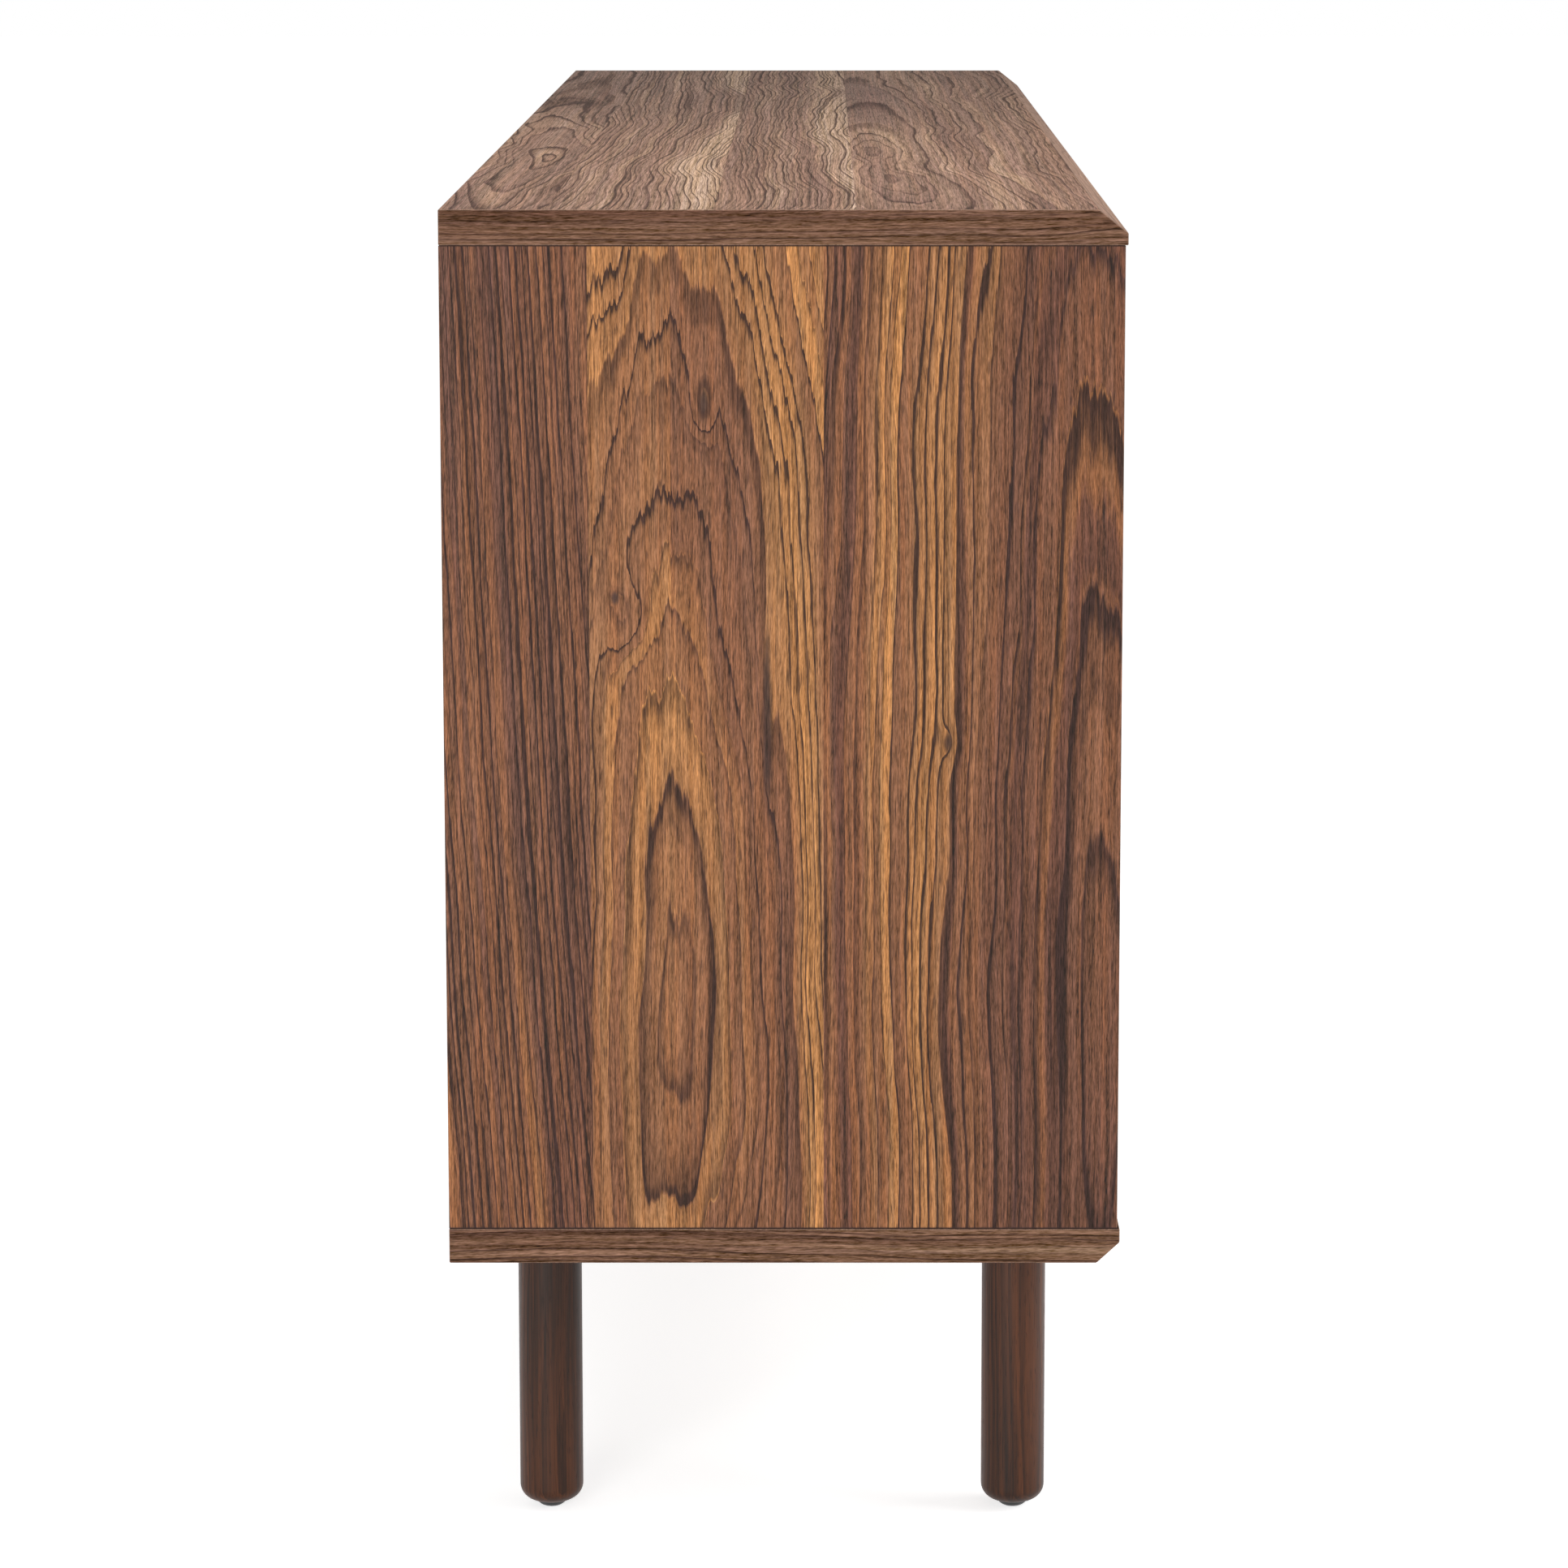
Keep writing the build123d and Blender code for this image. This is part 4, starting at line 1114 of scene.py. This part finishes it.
@dataclass(frozen=True)
class CrossScrew:
    """The head of a small cross-recessed screw, modelled once and set wherever it is needed."""

    radius: float
    height: float
    crown: float
    slot_length: float
    slot_width: float
    slot_depth: float
    sides: int = 28
    crown_steps: int = 4
    rim_share: float = 0.99
    smooth_angle: float = 35.0

    def model(self) -> bpy.types.Object:
        """Models one head on the floor of the frame, looking up.

        Returns:
            The head.
        """
        bpy.ops.object.select_all(action="DESELECT")
        bpy.ops.mesh.primitive_cylinder_add(vertices=self.sides, radius=self.radius, depth=self.height,
                                            location=(0.0, 0.0, self.height / 2))
        head = bpy.context.object
        self.round_crown(head)
        for turn in (0.0, math.pi / 2):
            self.cut_slot(head, turn)
        bpy.ops.object.shade_smooth_by_angle(angle=math.radians(self.smooth_angle))
        return head

    def round_crown(self, head: bpy.types.Object) -> None:
        """Rounds the upper rim of the head.

        Args:
            head: The plain cylinder.
        """
        bpy.ops.object.mode_set(mode="EDIT")
        bpy.ops.mesh.select_mode(type="EDGE")
        bpy.ops.mesh.select_all(action="DESELECT")
        bpy.ops.object.mode_set(mode="OBJECT")
        upper = self.height / 2 * self.rim_share
        for edge in head.data.edges:
            edge.select = all(head.data.vertices[index].co.z > upper for index in edge.vertices)
        bpy.ops.object.mode_set(mode="EDIT")
        bpy.ops.mesh.bevel(offset=self.crown, segments=self.crown_steps, affect="EDGES")
        bpy.ops.object.mode_set(mode="OBJECT")
        bpy.ops.object.transform_apply(location=True, rotation=True, scale=True)

    def cut_slot(self, head: bpy.types.Object, turn: float) -> None:
        """Cuts one arm of the cross into the head.

        Args:
            head: The head that the arm is cut into.
            turn: The arm's angle about the screw's axis.
        """
        bpy.ops.object.select_all(action="DESELECT")
        bpy.ops.mesh.primitive_cube_add(size=1.0, location=(0.0, 0.0, self.height),
                                        rotation=(0.0, 0.0, turn))
        cutter = bpy.context.object
        cutter.scale = (self.slot_length, self.slot_width, self.slot_depth * 2)
        bpy.ops.object.transform_apply(location=True, rotation=True, scale=True)
        bpy.ops.object.select_all(action="DESELECT")
        head.select_set(True)
        bpy.context.view_layer.objects.active = head
        cut = head.modifiers.new("cross_slot", "BOOLEAN")
        cut.operation = "DIFFERENCE"
        cut.object = cutter
        bpy.ops.object.modifier_apply(modifier=cut.name)
        bpy.data.objects.remove(cutter, do_unlink=True)

    def set_at(self, name: str, seats: Sequence[Seat], finish: bpy.types.Material, body: str,
               slot: str) -> None:
        """Sets copies of the head on their seats and joins them into one piece.

        Args:
            name: The piece's name.
            seats: The place of each head and the way it looks.
            finish: The heads' material.
            body: The body that they ride on.
            slot: The record's material slot; not used.
        """
        head = self.model()
        copies = []
        for place, look in seats:
            screw = head.copy()
            screw.data = head.data.copy()
            screw.rotation_euler = look.to_track_quat("Z", "Y").to_euler()
            screw.location = place
            bpy.context.scene.collection.objects.link(screw)
            copies.append(screw)
        bpy.data.objects.remove(head, do_unlink=True)
        bpy.ops.object.select_all(action="DESELECT")
        for screw in copies:
            screw.select_set(True)
        bpy.context.view_layer.objects.active = copies[0]
        bpy.ops.object.transform_apply(location=True, rotation=True, scale=True)
        bpy.ops.object.join()
        piece = bpy.context.object
        piece.name = name
        piece.data.name = name
        piece.data.materials.clear()
        piece.data.materials.append(finish)
        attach(piece, body)
        LOG.info("piece %s: %d heads", name, len(seats))


@dataclass
class Fasteners:
    """The small screws that fix the strikes, the catches and the drawers' rails."""

    finishes: Finishes
    slot: str = "zinc_plated_steel"
    drawers: tuple[str, ...] = ("bottom_drawer", "middle_drawer", "top_drawer")
    strike_screw: CrossScrew = CrossScrew(
        radius=0.00176, height=0.0009, crown=0.0002,
        slot_length=0.0022, slot_width=0.00045, slot_depth=0.0005,
    )
    strike_sink: float = 0.0002
    catch_screw: CrossScrew = CrossScrew(
        radius=0.0028, height=0.0014, crown=0.0007,
        slot_length=0.0034, slot_width=0.0007, slot_depth=0.0008,
    )
    catch_offset: float = 0.014
    rail_screw: CrossScrew = CrossScrew(
        radius=0.0036, height=0.0019, crown=0.001,
        slot_length=0.0042, slot_width=0.0009, slot_depth=0.0011,
    )
    rail_wall: float = 0.0012
    rail_stations: tuple[float, ...] = (0.035, 0.13, 0.30)

    def fix(self, screw: CrossScrew, name: str, seats: Sequence[Seat], body: str) -> None:
        """Sets one group of screws on its body."""
        screw.set_at(name, seats, self.finishes.made[self.slot], body, self.slot)

    def strike_screws(self, side: str) -> None:
        """Sets the two flush screws of one door's strike plate.

        Args:
            side: The door's side.
        """
        low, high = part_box(f"{side}_door_strike")
        quarter = (high.x - low.x) / 4
        middle = (low + high) / 2
        seats = []
        for sign in (-1, 1):
            place = Vector((middle.x + quarter * sign, low.y + self.strike_sink, middle.z))
            seats.append((place, Vector((0.0, 1.0, 0.0))))
        self.fix(self.strike_screw, f"{side}_door_strike_screws", seats, f"{side}_door_leaf")

    def catch_screws(self) -> None:
        """Sets two screws in the underside of each magnetic catch."""
        low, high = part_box("door_catches")
        seats = []
        for side in SIDES:
            strike_low, strike_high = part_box(f"{side}_door_strike")
            middle = (strike_low.x + strike_high.x) / 2
            for offset in (-self.catch_offset, self.catch_offset):
                place = Vector((middle + offset, (low.y + high.y) / 2, low.z))
                seats.append((place, Vector((0.0, 0.0, -1.0))))
        self.fix(self.catch_screw, "door_catch_screws", seats, "cabinet")

    def rail_screws(self, drawer: str) -> None:
        """Sets the screws that hold one drawer's rails to its sides.

        Args:
            drawer: The drawer's name.
        """
        low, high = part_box(f"{drawer}_rails")
        seats = []
        for side, sign in zip(SIDES, (-1.0, 1.0)):
            outer = max(abs(corner.x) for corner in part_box(f"{drawer}_{side}_side"))
            for station in self.rail_stations:
                place = Vector((sign * (outer + self.rail_wall), low.y + station, (low.z + high.z) / 2))
                seats.append((place, Vector((sign, 0.0, 0.0))))
        self.fix(self.rail_screw, f"{drawer}_rail_screws", seats, f"{drawer}_box")

    def build(self) -> None:
        """Sets every screw."""
        for side in SIDES:
            self.strike_screws(side)
        self.catch_screws()
        for drawer in self.drawers:
            self.rail_screws(drawer)


@dataclass(frozen=True)
class Softbox:
    """A soft square lamp: where it hangs, where it looks, its width in metres and its power in watts."""

    name: str
    place: Place
    aim: Place
    size: float
    watts: float

    def build(self) -> None:
        """Hangs the lamp."""
        light = bpy.data.lights.new(self.name, "AREA")
        light.size = self.size
        light.energy = self.watts
        lamp = bpy.data.objects.new(self.name, light)
        lamp.location = self.place
        look = Vector(self.aim) - Vector(self.place)
        lamp.rotation_euler = look.to_track_quat("-Z", "Y").to_euler()
        bpy.context.scene.collection.objects.link(lamp)


@dataclass(frozen=True)
class PhotoCamera:
    """The camera of the photograph, looking along the cabinet from its left end.

    Places are in metres, the lens and its sensor in millimetres and the pitch in degrees.
    """

    distance: float = 2.8076
    aside: float = -0.0117
    height: float = 1.0045
    pitch: float = 8.367
    lens: float = 113.2
    sensor: float = 36.0
    shift_x: float = -0.023
    shift_y: float = -0.15

    def build(self) -> None:
        """Sets the camera in front of the cabinet's left end."""
        near_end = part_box("top_panel")[0].x
        lens = bpy.data.cameras.new("photo_camera")
        lens.sensor_width = self.sensor
        lens.lens = self.lens
        lens.shift_x = self.shift_x
        lens.shift_y = self.shift_y
        camera = bpy.data.objects.new("photo_camera", lens)
        camera.location = (near_end - self.distance, self.aside, self.height)
        pitch = math.radians(self.pitch)
        look = Vector((math.cos(pitch), 0.0, -math.sin(pitch)))
        camera.rotation_euler = look.to_track_quat("-Z", "Y").to_euler()
        bpy.context.scene.collection.objects.link(camera)
        bpy.context.scene.camera = camera


@dataclass
class Studio:
    """The pale floor, the white room, four soft lamps and the camera."""

    floor_size: float = 40.0
    floor_colour: Colour = (0.86, 0.86, 0.86)
    floor_glow: float = 0.66
    room_light: float = 0.42
    room_shown: float = 1.0
    lamps: tuple[Softbox, ...] = (
        Softbox("front_softbox", (-0.8, -3.0, 1.5), (0.0, 0.0, 0.45), size=2.2, watts=60.0),
        Softbox("end_softbox", (-3.4, 1.0, 0.62), (0.0, 0.0, 0.45), size=1.2, watts=41.0),
        Softbox("overhead_softbox", (-0.6, 0.0, 1.8), (-0.6, 0.0, 0.5), size=0.7, watts=13.0),
        Softbox("far_softbox", (3.0, 0.4, 2.0), (0.0, 0.0, 0.7), size=1.6, watts=9.0),
    )
    camera: PhotoCamera = PhotoCamera()

    def add_floor(self) -> None:
        """Adds the floor that the sideboard stands on, which shows white and keeps the shadow."""
        bpy.ops.object.select_all(action="DESELECT")
        bpy.ops.mesh.primitive_plane_add(size=self.floor_size)
        floor = bpy.context.object
        floor.name = "studio_floor"
        graph = Graph.for_material("studio_floor_paint")
        diffuse = graph.node("ShaderNodeBsdfDiffuse", None, {"Color": (*self.floor_colour, 1.0)})
        strength = graph.shown_rays() * self.floor_glow
        glow = graph.node("ShaderNodeEmission", None, {"Color": (*WHITE, 1.0), "Strength": strength})
        both = graph.node("ShaderNodeAddShader", None, {0: diffuse, 1: glow})
        graph.add("ShaderNodeOutputMaterial", None, {"Surface": both})
        floor.data.materials.append(graph.owner)

    def add_room(self) -> None:
        """Lights the room evenly, and shows it white to the camera and in reflections."""
        graph = Graph(bpy.data.worlds.new("studio_room"))
        limits = {"To Min": self.room_light, "To Max": self.room_shown}
        strength = graph.node("ShaderNodeMapRange", None, {"Value": graph.shown_rays(), **limits})
        light = graph.node("ShaderNodeBackground", None, {"Color": (*WHITE, 1.0), "Strength": strength})
        graph.add("ShaderNodeOutputWorld", None, {"Surface": light})
        bpy.context.scene.world = graph.owner

    def build(self) -> None:
        """Builds the whole studio."""
        self.add_floor()
        self.add_room()
        for lamp in self.lamps:
            lamp.build()
        self.camera.build()
        bpy.context.scene.view_settings.view_transform = "Standard"


def main() -> None:
    """Dresses the sideboard and sets the studio."""
    logging.basicConfig(level=logging.INFO)
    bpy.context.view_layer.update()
    top_low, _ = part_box("top_panel")
    end_low, end_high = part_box("left_end_panel")
    finishes = Finishes(top_low.y, end_low.z, end_high.z)
    finishes.build()
    finishes.dress()
    Fasteners(finishes).build()
    Studio().build()


if __name__ == "__main__":
    main()
